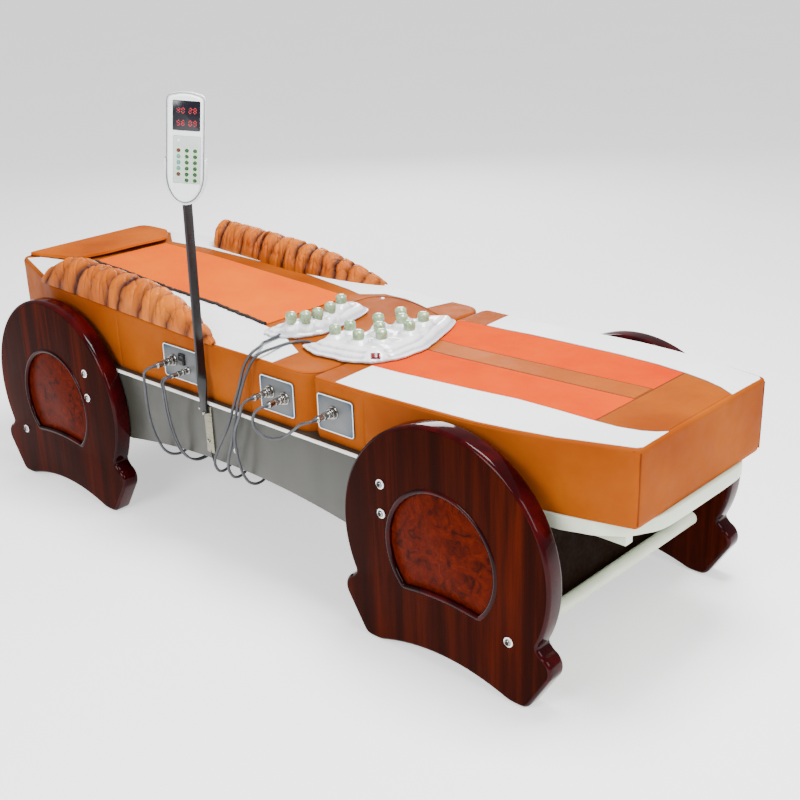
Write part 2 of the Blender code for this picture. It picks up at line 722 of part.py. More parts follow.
def foot_plan():
    """(x, half width) of the foot section from its seam to its foot end."""
    corner_x = FOOT_START_X + FOOT_SEAM_CORNER
    corner_y = HALF_WIDTH - FOOT_SEAM_CORNER
    plan = list(reversed(arc(corner_x, corner_y, FOOT_SEAM_CORNER, 90, 180, 2)))
    plan.append((LEVEL_FOOT_X, HALF_WIDTH))
    steps = 6
    drop = HALF_WIDTH - FOOT_END_HALF
    for i in range(steps + 1):
        share = i / steps
        plan.append((FOOT_END_X - FOOT_TAPER * (1 - share), HALF_WIDTH - drop * share**1.6))
    return plan


def sheet_on_top(low_x, high_x, low_y, high_y, under, over):
    """A slab that follows the bed's top, between two heights measured from it."""
    stations = [low_x, *[x for x in (LEVEL_HEAD_X, LEVEL_FOOT_X) if low_x < x < high_x], high_x]
    rings = []
    for x in stations:
        low = top_z(x) + under
        high = top_z(x) + over
        corners = ((low_y, low), (high_y, low), (high_y, high), (low_y, high))
        rings.append([Vector((x, y, z)) for y, z in corners])
    return loft(rings)


def rebate_cutter(low_x, high_x, low_y, high_y):
    grow = SLIDE_GAP
    depth = COVER_THICKNESS + SEAT_GAP
    return sheet_on_top(low_x - grow, high_x + grow, low_y - grow, high_y + grow, -depth, OVERRUN)


def main_section():
    body = loft([section_ring(x, half) for x, half in main_plan()])
    cover_area = (COVER_HEAD_X, COVER_FOOT_X, COVER_NEAR_Y, COVER_FAR_Y)
    slot_low = (SLOT_HEAD_X, -SLOT_HALF_WIDTH, MATTRESS_BOTTOM - OVERRUN)
    slot_top = max(TOP_HEAD, TOP_MIDDLE) + OVERRUN
    slot = box(slot_low, (SLOT_FOOT_X, SLOT_HALF_WIDTH, slot_top))
    cut(body, rebate_cutter(*cover_area), slot)
    as_part(body, "main_mattress", "padded_leather")
    cover = sheet_on_top(*cover_area, -COVER_THICKNESS, 0.0)
    as_part(cover, "main_cover", "orange_cloth")


def head_flap():
    """A padded leather flap sewn along the head end, its free edge standing a little proud."""
    hinge_x = HEAD_X + FLAP_INSET
    steps = 8
    rings = []
    for i in range(steps + 1):
        share = i / steps
        x = hinge_x + FLAP_LENGTH * share
        half = FLAP_HALF_WIDTH * (1 - 0.35 * share**6)
        low = top_z(x) + SEAT_GAP + FLAP_LIFT * share**2
        high = low + FLAP_THICKNESS
        corners = ((-half, low), (half, low), (half, high), (-half, high))
        rings.append([Vector((x, y, z)) for y, z in corners])
    pivot = axis_empty("flap_axis", (hinge_x, 0.0, top_z(hinge_x) + SEAT_GAP))
    as_part(loft(rings), "head_flap", "tan_leather", pivot)


def bolster_size(share):
    """Share of the full section at a place along a bolster: blunt at the head, drawn out at the foot."""
    blunt = 0.14
    taper = 0.52
    least = 0.16
    if share < blunt:
        full = math.sqrt(1 - (1 - share / blunt) ** 2)
    elif share < taper:
        full = 1.0
    else:
        full = math.cos((share - taper) / (1 - taper) * math.pi / 2) ** 0.75
    return least + (1 - least) * full


def bolster(side, head_x, length, slimming=1.0):
    """A ruched side bolster: a half-round roll flat on the bed, gathered into pleats."""
    stations = BOLSTER_PLEATS * 4
    rings = []
    for i in range(stations + 1):
        share = i / stations
        x = head_x + length * share
        size = bolster_size(share) * slimming
        fold = PLEAT_DEPTH * size * (1 - abs(math.sin(math.pi * BOLSTER_PLEATS * share)))
        width = BOLSTER_WIDTH * size - fold
        height = BOLSTER_HEIGHT * size - fold
        middle = BOLSTER_OUTER_Y - BOLSTER_WIDTH * size / 2
        base = top_z(x) + SEAT_GAP
        ring = []
        for y, z in arc(0.0, 0.0, 1.0, 0, 180, 10):
            ring.append(Vector((x, side * (middle + y * width / 2), base + height * z**0.7)))
        rings.append(ring)
    return loft(rings)


def foot_section(slide):
    body = loft([section_ring(x, half) for x, half in foot_plan()])
    start = FOOT_START_X + FOOT_COVER_START
    area = (start, start + FOOT_COVER_LENGTH, -FOOT_COVER_HALF, FOOT_COVER_HALF)
    cut(body, rebate_cutter(*area))
    as_part(body, "foot_mattress", "padded_leather", slide)
    cover = sheet_on_top(*area, -COVER_THICKNESS, 0.0)
    as_part(cover, "foot_cover", "orange_cloth", slide)


def foot_tray(slide):
    """The enamelled pan under the foot section: it slides between the rails, rounded at the foot end."""
    half_width = RAIL_INNER_Y - TRAY_RAIL_CLEARANCE
    end_x = FOOT_END_X + TRAY_NOSE
    side = [(FOOT_START_X + FOOT_COVER_START, half_width)]
    for along, across in FOOT_PLAN_SHARES:
        x = end_x - TRAY_END_RADIUS * (1 - math.sin(along * math.pi / 2))
        side.append((x, half_width * across))
    outline = side + [(x, -y) for x, y in reversed(side)]
    body = flat(outline, TRAY_HEIGHT - SEAT_GAP, Matrix.Translation((0.0, 0.0, TRAY_BOTTOM)))
    as_part(round_edges(body, EDGE_RADIUS / 3), "foot_tray", "ivory_panel", slide)
    top = TRAY_BOTTOM - SEAT_GAP
    bottom = END_BOARD_TOP + SEAT_GAP
    half = RUNNER_WIDTH / 2
    near = box((RUNNER_START_X, -RUNNER_Y - half, bottom), (RUNNER_END_X, -RUNNER_Y + half, top))
    far = box((RUNNER_START_X, RUNNER_Y - half, bottom), (RUNNER_END_X, RUNNER_Y + half, top))
    strap_end = RUNNER_START_X + RUNNER_STRAP
    strap = box((RUNNER_START_X, -RUNNER_Y, bottom), (strap_end, RUNNER_Y, top))
    as_part(weld(strap, near, far), "runner_frame", "ivory_enamel", slide)


# Legs and frame


def leg_outline():
    """A round panel with two side knobs above its feet and a low arch between them."""
    drop = math.degrees(math.asin((LEG_DISC_Z - LEG_WAIST_Z) / LEG_DISC_RADIUS))
    points = arc(0.0, LEG_DISC_Z, LEG_DISC_RADIUS, -drop, 180 + drop, 22)
    points += arc(-LEG_KNOB_X, LEG_KNOB_Z, LEG_KNOB_RADIUS, 110, 215, 5)
    points += [(-LEG_FOOT_OUTER, 0.0), (-LEG_FOOT_INNER, 0.0)]
    for i in range(1, 8):
        share = i / 4 - 1
        points.append((LEG_FOOT_INNER * share, LEG_ARCH_RISE * (1 - share**2)))
    points += [(LEG_FOOT_INNER, 0.0), (LEG_FOOT_OUTER, 0.0)]
    points += arc(LEG_KNOB_X, LEG_KNOB_Z, LEG_KNOB_RADIUS, -35, 70, 5)
    return points


def inlay_outline(inset):
    """A round window with its lower edge cut by a shallow arch."""
    radius = INLAY_RADIUS - inset
    drop = INLAY_CHORD_DROP - inset
    angle = math.degrees(math.asin(drop / radius))
    points = arc(0.0, INLAY_Z, radius, -angle, 180 + angle, 22)
    half = radius * math.cos(math.radians(angle))
    for i in range(1, 4):
        share = i / 2 - 1
        points.append((half * share, INLAY_Z - drop + INLAY_ARCH_RISE * (1 - share**2)))
    return points


def leg_place(x, side):
    """The drawing plane on a leg's inner face, with local Z pointing out of the bed."""
    if side < 0:
        return facing_near(x, -LEG_INNER_Y, 0.0)
    turn = Matrix.Rotation(math.radians(180), 4, "Z")
    return Matrix.Translation((x, 0.0, 0.0)) @ turn @ facing_near(0.0, -LEG_INNER_Y, 0.0)


def leg(place_name, x, side, inward):
    """One leg panel and its burl inlay; inward is the X direction to the middle of the bed."""
    place = leg_place(x, side)
    panel = flat(leg_outline(), LEG_THICKNESS, place)
    round_edges(panel, LEG_EDGE_ROUND)
    raise_pocket = Matrix.Translation((0.0, 0.0, LEG_THICKNESS - POCKET_DEPTH))
    pocket = flat(inlay_outline(0.0), POCKET_DEPTH + OVERRUN, place @ raise_pocket)
    holes = []
    drawn = inward * side * -1
    spots = (
        (drawn * RAIL_BOLT_INSET, RAIL_BOLT_UPPER_Z),
        (drawn * RAIL_BOLT_INSET, RAIL_BOLT_LOWER_Z),
        (-drawn * TUBE_INSET, TUBE_Z),
    )
    for across, up in spots:
        through = LEG_THICKNESS + 2 * OVERRUN
        lower = Matrix.Translation((across, up, -OVERRUN))
        holes.append(rod_in(place @ lower, BOLT_HOLE_RADIUS, through))
    cut(panel, pocket, joined(holes))
    as_part(panel, "leg_" + place_name, "dark_wood")
    raise_inlay = Matrix.Translation((0.0, 0.0, LEG_THICKNESS - POCKET_DEPTH + SEAT_GAP))
    inlay = flat(inlay_outline(SEAT_GAP), INLAY_THICKNESS, place @ raise_inlay)
    as_part(inlay, "inlay_" + place_name, "burl")


def rod_in(matrix, radius, length, steps=12):
    """A plain round bar along local Z of the matrix."""
    profile = ((0.0, length), (radius, length), (radius, 0.0), (0.0, 0.0))
    return turned(profile, steps, matrix)


def bolt_head_profile(tip):
    """Outer side of a washer-faced dome head whose underside is on the leg's face."""
    seat = LEG_OUTER_Y + SEAT_GAP
    dome = HEAD_RADIUS * 0.62
    return [
        (0.0, tip), (dome, tip), (HEAD_RADIUS * 0.85, seat + HEAD_HEIGHT * 0.45),
        (HEAD_RADIUS, seat + HEAD_HEIGHT * 0.2), (HEAD_RADIUS, seat), (BOLT_RADIUS, seat),
    ]


def cross_tube(name, x):
    """A tube between two legs, drawn up by a rod whose dome heads bear on the legs."""
    tip = LEG_OUTER_Y + SEAT_GAP + HEAD_HEIGHT
    end = LEG_INNER_Y - SEAT_GAP
    half = bolt_head_profile(tip) + [(BOLT_RADIUS, end), (TUBE_RADIUS, end)]
    profile = half + [(radius, -height) for radius, height in reversed(half)]
    along_y = Matrix.Translation((x, 0.0, TUBE_Z)) @ Matrix.Rotation(math.radians(90), 4, "X")
    as_part(turned(profile, 16, along_y), name, "ivory_enamel")


def rail_stud(x, z, side):
    """A stud from inside the rail's wall through the leg to its dome nut."""
    tip = LEG_OUTER_Y + SEAT_GAP + HEAD_HEIGHT
    root = RAIL_OUTER_Y - RAIL_WALL / 2
    profile = bolt_head_profile(tip) + [(BOLT_RADIUS, root), (0.0, root)]
    turn = Matrix.Rotation(math.radians(-90 * side), 4, "X")
    return turned(profile, 10, Matrix.Translation((x, 0.0, z)) @ turn)


def rail_outline(inset):
    """Side view of a rail: straight top, lower edge arched between the legs."""
    head = RAIL_HEAD_X + inset
    foot = RAIL_FOOT_X - inset
    points = [(head, RAIL_TOP - inset), (head, RAIL_BOTTOM + inset)]
    for i in range(9):
        share = i / 4 - 1
        rise = RAIL_ARCH_RISE * (1 - share**2)
        points.append((RAIL_MIDDLE_X + RAIL_ARCH_HALF * share, RAIL_BOTTOM + inset + rise))
    points += [(foot, RAIL_BOTTOM + inset), (foot, RAIL_TOP - inset)]
    return points


def rail(name, side):
    """A pressed channel, open to the inside, with its studs for the legs."""
    outer = facing_near(0.0, side * RAIL_OUTER_Y, 0.0)
    inner = facing_near(0.0, side * RAIL_INNER_Y, 0.0)
    place = inner if side < 0 else outer
    body = flat(rail_outline(0.0), RAIL_DEPTH, place)
    hollow_depth = RAIL_DEPTH - RAIL_WALL + OVERRUN
    shift = -OVERRUN if side < 0 else RAIL_WALL
    hollow = flat(rail_outline(RAIL_WALL), hollow_depth, place @ Matrix.Translation((0.0, 0.0, shift)))
    round_rail_top(body)
    cut(body, hollow)
    studs = []
    for leg_x, inward in ((LEG_HEAD_X, 1), (LEG_FOOT_X, -1)):
        for z in (RAIL_BOLT_UPPER_Z, RAIL_BOLT_LOWER_Z):
            studs.append(rail_stud(leg_x + inward * RAIL_BOLT_INSET, z, side))
    if side < 0:
        for x, z, radius in CLIP_STUDS:
            root = -RAIL_OUTER_Y + RAIL_WALL / 2
            tip = -RAIL_OUTER_Y - CLIP_STUD_HEIGHT
            studs.append(rod(radius, (x, root, z), (x, tip, z), 10))
    weld(body, joined(studs))
    as_part(body, name, "grey_metal")


def round_rail_top(body):
    """Rounds the outer top edge, which lies uncovered beside the leather."""
    work = bmesh.new()
    work.from_mesh(body.data)
    outer = max(abs(v.co.y) for v in work.verts)
    edges = []
    for edge in work.edges:
        on_top = all(v.co.z > RAIL_TOP - WELD for v in edge.verts)
        outside = all(abs(v.co.y) > outer - WELD for v in edge.verts)
        if on_top and outside:
            edges.append(edge)
    bmesh.ops.bevel(
        work, geom=edges, offset=RAIL_WALL - SEAT_GAP, affect="EDGES", segments=2, profile=0.5,
        material=-1,
    )
    work.to_mesh(body.data)
    work.free()


def end_board(name, low_x, high_x):
    low = (low_x, -RAIL_OUTER_Y, END_BOARD_BOTTOM)
    high = (high_x, RAIL_OUTER_Y, END_BOARD_TOP)
    as_part(round_edges(box(low, high), RAIL_WALL / 2, 1), name, "bottom_board")


def base_pan():
    """The thin floor of the drive space, lying on the rails' lower flanges.

    Its cross-member carries the runners, and the leads come up through the glands beneath it.
    """
    half = RAIL_OUTER_Y - RAIL_WALL - SEAT_GAP
    end_gap = RAIL_WALL + SEAT_GAP
    low = (RAIL_HEAD_X + end_gap, -half, PAN_BOTTOM)
    pan = box(low, (RAIL_FOOT_X - end_gap, half, PAN_TOP))
    middle = PAN_BOTTOM + PAN_THICKNESS / 2
    low = (BEARER_X - BEARER_WIDTH / 2, -half, middle)
    bearer = box(low, (BEARER_X + BEARER_WIDTH / 2, half, END_BOARD_TOP))
    glands = []
    for x in PAN_GLAND_XS:
        start = (x, PAN_GLAND_Y, PAN_BOTTOM - PAN_GLAND_HEIGHT)
        glands.append(rod(PAN_GLAND_RADIUS, start, (x, PAN_GLAND_Y, middle), 10))
    as_part(weld(pan, bearer, joined(glands)), "base_pan", "bottom_board")


# Socket plates


def socket_body(x, z, flange):
    """A chassis socket standing on a plate: flange, then threaded barrel."""
    root = PLATE_THICKNESS / 2
    length = SOCKET_LENGTH + root
    barrel = flange - SOCKET_STEP
    profile = (
        (0.0, length), (barrel, length), (barrel, SOCKET_FLANGE + root), (flange, SOCKET_FLANGE + root),
        (flange, 0.0), (0.0, 0.0),
    )
    return turned(profile, 16, facing_near(x, PLATE_FACE_Y + root, z))


def plate(name, x, width, sockets, parent=None, bezel=None):
    outline = rounded_rectangle(width, PLATE_HEIGHT, PLATE_CORNER)
    body = flat(outline, PLATE_THICKNESS, facing_near(x, PLATE_BACK_Y, PLATE_Z))
    weld(body, joined([socket_body(*place) for place in sockets]))
    if bezel:
        weld(body, bezel)
    return as_part(body, name, "plate_blue", parent)


def rocker_bezel():
    outer = rounded_rectangle(BEZEL_WIDTH, BEZEL_HEIGHT, BEZEL_WALL / 2, 1)
    inner = rounded_rectangle(BEZEL_WIDTH - 2 * BEZEL_WALL, BEZEL_HEIGHT - 2 * BEZEL_WALL, BEZEL_WALL / 4, 1)
    place = facing_near(BEZEL_X, PLATE_FACE_Y + PLATE_THICKNESS / 2, BEZEL_Z)
    return flat(outer, BEZEL_DEPTH + PLATE_THICKNESS / 2, place, holes=(inner,))


def rocker(width, height, matrix):
    """A rocker cap about its own pivot axis, local X, standing out along local Z."""
    low = (-width / 2, -height / 2, -ROCKER_THICKNESS / 2)
    return box(low, (width / 2, height / 2, ROCKER_THICKNESS / 2), matrix)


def power_switch():
    width = BEZEL_WIDTH - 2 * BEZEL_WALL - 2 * SLIDE_GAP
    height = BEZEL_HEIGHT - 2 * BEZEL_WALL - 4 * SLIDE_GAP
    pivot_y = PLATE_FACE_Y - BEZEL_DEPTH + ROCKER_THICKNESS / 4
    place = facing_near(BEZEL_X, pivot_y, BEZEL_Z)
    pivot = axis_empty("power_switch_axis", (BEZEL_X, pivot_y, BEZEL_Z))
    cap = rocker(width, height, place @ Matrix.Rotation(ROCKER_TILT, 4, "X"))
    as_part(round_edges(cap, BEZEL_WALL / 4, 1), "power_switch", "black_plastic", pivot)


def plug(name, x, z, radius, parent=None):
    """A round cable plug: coupling ring, grip, then a neck that the lead leaves."""
    profile = (
        (0.0, PLUG_LENGTH), (PLUG_NECK_RADIUS, PLUG_LENGTH), (PLUG_NECK_RADIUS, PLUG_BODY),
        (radius - PLUG_RING, PLUG_BODY), (radius - PLUG_RING, PLUG_GRIP), (radius, PLUG_GRIP),
        (radius, 0.0), (0.0, 0.0),
    )
    body = turned(profile, 14, facing_near(x, PLUG_BACK_Y, z))
    as_part(body, name, "chrome", parent)


# Pole, holder and handset


def pole_frame():
    """Local Z runs up the leaning pole from where its middle crosses the rail's top."""
    lean = Matrix.Rotation(POLE_LEAN, 4, "Y")
    return Matrix.Translation((POLE_X, POLE_MIDDLE_Y, RAIL_TOP)) @ lean


def pole_point(height):
    """A point on the pole's middle line at a height above the floor."""
    return pole_frame() @ Vector((0.0, 0.0, (height - RAIL_TOP) / math.cos(POLE_LEAN)))


def pole():
    """A flat bar screwed to the rail by a foot plate, given a quarter twist above the rail.

    A round spigot on top carries the holder.
    """
    frame = pole_frame()
    top = (POLE_TOP_Z - RAIL_TOP) / math.cos(POLE_LEAN)
    half_width, half_depth = POLE_WIDTH / 2, POLE_THICKNESS / 2
    twist = POLE_TWIST_HIGH - POLE_TWIST_LOW
    levels = [(BRACKET_TOP - BRACKET_LAP - RAIL_TOP, 0.0)]
    levels += [(POLE_TWIST_LOW - RAIL_TOP + twist * i / 6, i / 6) for i in range(7)]
    levels.append((top, 1.0))
    rings = []
    for height, turn in levels:
        about = Matrix.Rotation(math.radians(90) * turn, 4, "Z")
        corners = ((-half_width, -half_depth), (half_width, -half_depth),
                   (half_width, half_depth), (-half_width, half_depth))
        rings.append([frame @ about @ Vector((x, y, height)) for x, y in corners])
    bar = loft(rings)
    spigot = rod(SPIGOT_RADIUS, frame @ Vector((0.0, 0.0, top - OVERRUN)),
                 frame @ Vector((0.0, 0.0, top + SPIGOT_LENGTH)))
    front = POLE_BACK_Y - WELD * 50
    back = POLE_BACK_Y + BRACKET_THICKNESS
    low = (BRACKET_X - BRACKET_WIDTH / 2, front, BRACKET_BOTTOM)
    bracket = box(low, (BRACKET_X + BRACKET_WIDTH / 2, back, BRACKET_TOP))
    fixings = []
    for z in (BRACKET_BOTTOM + BRACKET_SCREW_INSET, BRACKET_TOP - BRACKET_SCREW_INSET / 2):
        start = (BRACKET_X, back - BRACKET_THICKNESS / 2, z)
        reach = POLE_THICKNESS if z > BRACKET_TOP - BRACKET_LAP * 2 else 0.0
        end = (BRACKET_X, POLE_BACK_Y - BRACKET_SCREW_HEIGHT - reach, z)
        fixings.append(rod(BRACKET_SCREW_RADIUS, start, end, 10))
    peg_z = BRACKET_TOP - BRACKET_LAP / 2
    peg_in = (BRACKET_X, POLE_BACK_Y + BRACKET_THICKNESS / 2, peg_z)
    arm_low = (PEG_X, back - BRACKET_THICKNESS, peg_z - PEG_RADIUS)
    arm = box(arm_low, (BRACKET_X, back, peg_z + PEG_RADIUS))
    fixings.append(rod(PEG_RADIUS, (PEG_X, peg_in[1], peg_z), (PEG_X, POLE_BACK_Y - PEG_LENGTH, peg_z), 10))
    weld(bar, bracket, arm, joined(fixings), spigot)
    as_part(bar, "pole", "black_plastic")


def handset_frame():
    """Drawing plane of the handset's back: local X right, Y up, Z out towards the viewer."""
    out = Vector((math.sin(FACING), -math.cos(FACING), 0.0))
    right = Vector((math.cos(FACING), math.sin(FACING), 0.0))
    up = Vector((0.0, 0.0, 1.0))
    right_rolled = right * math.cos(HANDSET_ROLL) - up * math.sin(HANDSET_ROLL)
    up_rolled = up * math.cos(HANDSET_ROLL) + right * math.sin(HANDSET_ROLL)
    origin = pole_point(HANDSET_BASE_Z) + out * (BARREL_STANDOFF + BARREL_RADIUS + HOLDER_BACK)
    frame = Matrix.Identity(4)
    for column, axis in enumerate((right_rolled, up_rolled, out, origin)):
        for row in range(3):
            frame[row][column] = axis[row]
    return frame @ Matrix.Translation((HANDSET_OFFSET, 0.0, 0.0))


def handset_outline(grow, height=None):
    """A tall case with a round bottom; with a height it is cut off level there."""
    half = HANDSET_WIDTH / 2 + grow
    points = []
    for i in range(13):
        angle = math.pi * i / 12
        points.append((-half * math.cos(angle), HANDSET_BOWL - (HANDSET_BOWL + grow) * math.sin(angle)))
    if height is not None:
        return points + [(half, height), (-half, height)]
    corner = HANDSET_TOP_CORNER
    points += arc(half - corner, HANDSET_HEIGHT - HANDSET_CROWN - corner, corner, 0, 80, 3)
    points.append((0.0, HANDSET_HEIGHT))
    points += arc(corner - half, HANDSET_HEIGHT - HANDSET_CROWN - corner, corner, 100, 180, 3)
    return points


def rectangle(x, y, width, height):
    half_w, half_h = width / 2, height / 2
    corners = ((-half_w, -half_h), (half_w, -half_h), (half_w, half_h), (-half_w, half_h))
    return [(x + across, y + up) for across, up in corners]


def key_rows(column):
    return KEY_LEFT_ROWS if column == 0 else KEY_ROWS


def key_spots(column):
    x = KEYPAD_X + (column - 1) * KEY_PITCH_X
    return [(x, KEY_TOP_UP - row * KEY_PITCH_Y) for row in range(key_rows(column))]


def handset(swivel):
    frame = handset_frame()
    lift = axis_empty("handset_lift_axis", frame @ Vector((0.0, 0.0, 0.0)), swivel)
    raised = Matrix.Translation((0.0, 0.0, SEAT_GAP))
    case = round_edges(flat(handset_outline(0.0), HANDSET_DEPTH, frame @ raised), HANDSET_ROUND)
    face = SEAT_GAP + HANDSET_DEPTH
    display_floor = face - DISPLAY_DEPTH - SEAT_GAP
    keypad_floor = face - KEYPAD_THICKNESS - KEYPAD_CAVITY
    display = rectangle(DISPLAY_X, DISPLAY_UP, DISPLAY_WIDTH, DISPLAY_HEIGHT)
    grow = 2 * SEAT_GAP
    display_hole = rectangle(DISPLAY_X, DISPLAY_UP, DISPLAY_WIDTH + grow, DISPLAY_HEIGHT + grow)
    keypad = rectangle(KEYPAD_X, KEYPAD_UP, KEYPAD_WIDTH, KEYPAD_HEIGHT)
    keypad_hole = rectangle(KEYPAD_X, KEYPAD_UP, KEYPAD_WIDTH + grow, KEYPAD_HEIGHT + grow)
    ledge = 2 * KEYPAD_THICKNESS
    well = rectangle(KEYPAD_X, KEYPAD_UP, KEYPAD_WIDTH - ledge, KEYPAD_HEIGHT - ledge)
    keypad_seat = face - KEYPAD_THICKNESS - SEAT_GAP
    cut(
        case,
        flat(display_hole, OVERRUN, frame @ Matrix.Translation((0.0, 0.0, display_floor))),
        flat(keypad_hole, OVERRUN, frame @ Matrix.Translation((0.0, 0.0, keypad_seat))),
        flat(well, KEYPAD_CAVITY + OVERRUN, frame @ Matrix.Translation((0.0, 0.0, keypad_floor))),
    )
    as_part(case, "handset_case", "white_plastic", lift)
    window = flat(display, DISPLAY_DEPTH, frame @ Matrix.Translation((0.0, 0.0, face - DISPLAY_DEPTH)))
    as_part(window, "display_window", "black_plastic", lift)
    holes = []
    for column in range(3):
        holes += [circle(x, y, KEY_RADIUS + SLIDE_GAP, 8) for x, y in key_spots(column)]
    place = frame @ Matrix.Translation((0.0, 0.0, face - KEYPAD_THICKNESS))
    as_part(flat(keypad, KEYPAD_THICKNESS, place, holes), "keypad_plate", "keypad_grey", lift)
    finishes = ("blue_rubber", "green_rubber", "green_rubber")
    for column, name in enumerate(("left", "middle", "right")):
        as_part(key_column(frame, column, face), "key_column_" + name, finishes[column], lift)


def key_column(frame, column, face):
    """One silicone strip: round keys on a thin web behind the keypad plate."""
    spots = key_spots(column)
    web_top = face - KEYPAD_THICKNESS - SEAT_GAP
    x = spots[0][0]
    height = spots[0][1] - spots[-1][1] + 2 * KEY_WEB_MARGIN
    middle = (spots[0][1] + spots[-1][1]) / 2
    web_place = frame @ Matrix.Translation((0.0, 0.0, web_top - KEY_WEB))
    web = flat(rectangle(x, middle, KEY_WEB_WIDTH, height), KEY_WEB, web_place)
    root = web_top - KEY_WEB / 2
    keys = []
    for kx, ky in spots:
        key_place = frame @ Matrix.Translation((kx, ky, root))
        keys.append(rod_in(key_place, KEY_RADIUS, face + KEY_PROUD - root, 8))
    return weld(web, joined(keys))


def holder(swivel):
    """The open-fronted cup that grips the handset's lower part, on a barrel round the spigot."""
    frame = handset_frame()
    outer = handset_outline(HOLDER_WALL + SLIDE_GAP, HOLDER_HEIGHT)
    pocket = handset_outline(SLIDE_GAP, HOLDER_HEIGHT + OVERRUN)
    depth = HOLDER_BACK + HOLDER_SIDE_DEPTH
    back = frame @ Matrix.Translation((0.0, 0.0, -HOLDER_BACK))
    body = flat(outer, depth, back)
    cut(body, flat(pocket, depth, frame))
    along = pole_frame().to_3x3() @ Vector((0.0, 0.0, 1.0))
    start = pole_point(POLE_TOP_Z) + along * SEAT_GAP
    end = start + along * BARREL_LENGTH
    barrel = rod(BARREL_RADIUS, start, end)
    out = Vector((math.sin(FACING), -math.cos(FACING), 0.0))
    neck_top = BARREL_LENGTH * 0.8
    neck_size = BARREL_STANDOFF + BARREL_RADIUS + HOLDER_BACK / 2
    turn = Matrix.Rotation(FACING, 4, "Z")
    neck_place = Matrix.Translation(start) @ turn
    neck = box((-BARREL_RADIUS / 2, -neck_size, OVERRUN), (BARREL_RADIUS / 2, 0.0, neck_top), neck_place)
    weld(body, neck, barrel)
    bore = rod(SPIGOT_RADIUS + SLIDE_GAP, start - along * OVERRUN, start + along * (SPIGOT_LENGTH + OVERRUN))
    cut(body, bore)
    as_part(body, "holder", "white_plastic", swivel)


# Projectors


def placed(shares, place):
    """Shares of a projector's width and length as points on the bed."""
    centre_x, centre_y, width, length = place
    return [Vector((centre_x + x * width, centre_y + y * length)) for x, y in shares]


def inset(points, distance):
    """The outline moved inwards by a distance all the way round; the points run anticlockwise."""
    moved = []
    for i, point in enumerate(points):
        before = (point - points[i - 1]).normalized()
        after = (points[(i + 1) % len(points)] - point).normalized()
        inward = Vector((-before.y - after.y, before.x + after.x)).normalized()
        lean = max(0.5, inward.dot(Vector((-before.y, before.x))))
        moved.append(point + inward * distance / lean)
    return moved


def shell_between(outline, levels):
    """A solid through the outline drawn in by each level's inset at its height."""
    rings = []
    for height, distance in levels:
        rings.append([Vector((p.x, p.y, height)) for p in inset(outline, distance)])
    return loft(rings)


def projector_case(name, outline, spots, relief_end, relief_aim, lift):
    """The white case: a low shell over the jade carrier, with a collar round each head."""
    base = TOP_MIDDLE + SEAT_GAP
    deck = base + CASE_HEIGHT
    levels = (
        (base, CASE_FOOT_INSET), (base + CASE_HEIGHT / 4, 0.0), (base + CASE_HEIGHT / 2, CASE_WALL / 4),
        (base + CASE_HEIGHT * 5 / 6, CASE_SHOULDER_INSET), (deck, CASE_DECK_INSET),
    )
    case = shell_between(outline, levels)
    aim = Vector((*relief_aim, 0.0)).normalized()
    end = Vector(relief_end)
    relief = rod(RELIEF_RADIUS, end - aim * RELIEF_LENGTH, end - aim * SEAT_GAP, 12)
    collars = []
    holes = []
    for spot in spots:
        root = Matrix.Translation((spot.x, spot.y, deck - CASE_WALL)) @ STONE_TURN
        outer = STONE_RADIUS + SEAT_GAP + STONE_COLLAR_WALL
        collars.append(rod_in(root, outer, CASE_WALL + STONE_COLLAR_HEIGHT, 10))
        below = Matrix.Translation((spot.x, spot.y, base + POCKET_HEIGHT / 2)) @ STONE_TURN
        holes.append(rod_in(below, STONE_RADIUS + SEAT_GAP, CASE_HEIGHT + STONE_HEIGHT, 10))
    pocket_inset = CASE_FOOT_INSET + CASE_WALL
    pocket = shell_between(outline, ((base - OVERRUN, pocket_inset), (base + POCKET_HEIGHT, pocket_inset)))
    weld(case, relief, *collars)
    cut(case, weld(pocket, *holes))
    settle(case)
    return as_part(case, name + "_case", "white_plastic", lift)


def projector_stones(name, outline, spots, lift):
    """The jade heads on their carrier, which closes the case from below."""
    base = TOP_MIDDLE + SEAT_GAP
    fit = CASE_FOOT_INSET + CASE_WALL + SEAT_GAP
    carrier = shell_between(outline, ((base, fit), (base + CARRIER_THICKNESS, fit)))
    top = CASE_HEIGHT + STONE_COLLAR_HEIGHT + STONE_HEIGHT - CARRIER_THICKNESS / 2
    crown = [(STONE_RADIUS * across, top - STONE_DOME * down) for across, down in STONE_CROWN_SHARES]
    profile = crown + [(STONE_RADIUS, 0.0), (0.0, 0.0)]
    heads = []
    for spot in spots:
        root = Matrix.Translation((spot.x, spot.y, base + CARRIER_THICKNESS / 2)) @ STONE_TURN
        heads.append(turned(profile, 10, root))
    as_part(weld(carrier, joined(heads)), name + "_stones", "jade", lift)


def projector(name, shares, stone_shares, place, relief_end, relief_aim, lift):
    outline = placed(shares, place)
    spots = placed(stone_shares, place)
    projector_stones(name, outline, spots, lift)
    return projector_case(name, outline, spots, relief_end, relief_aim, lift)


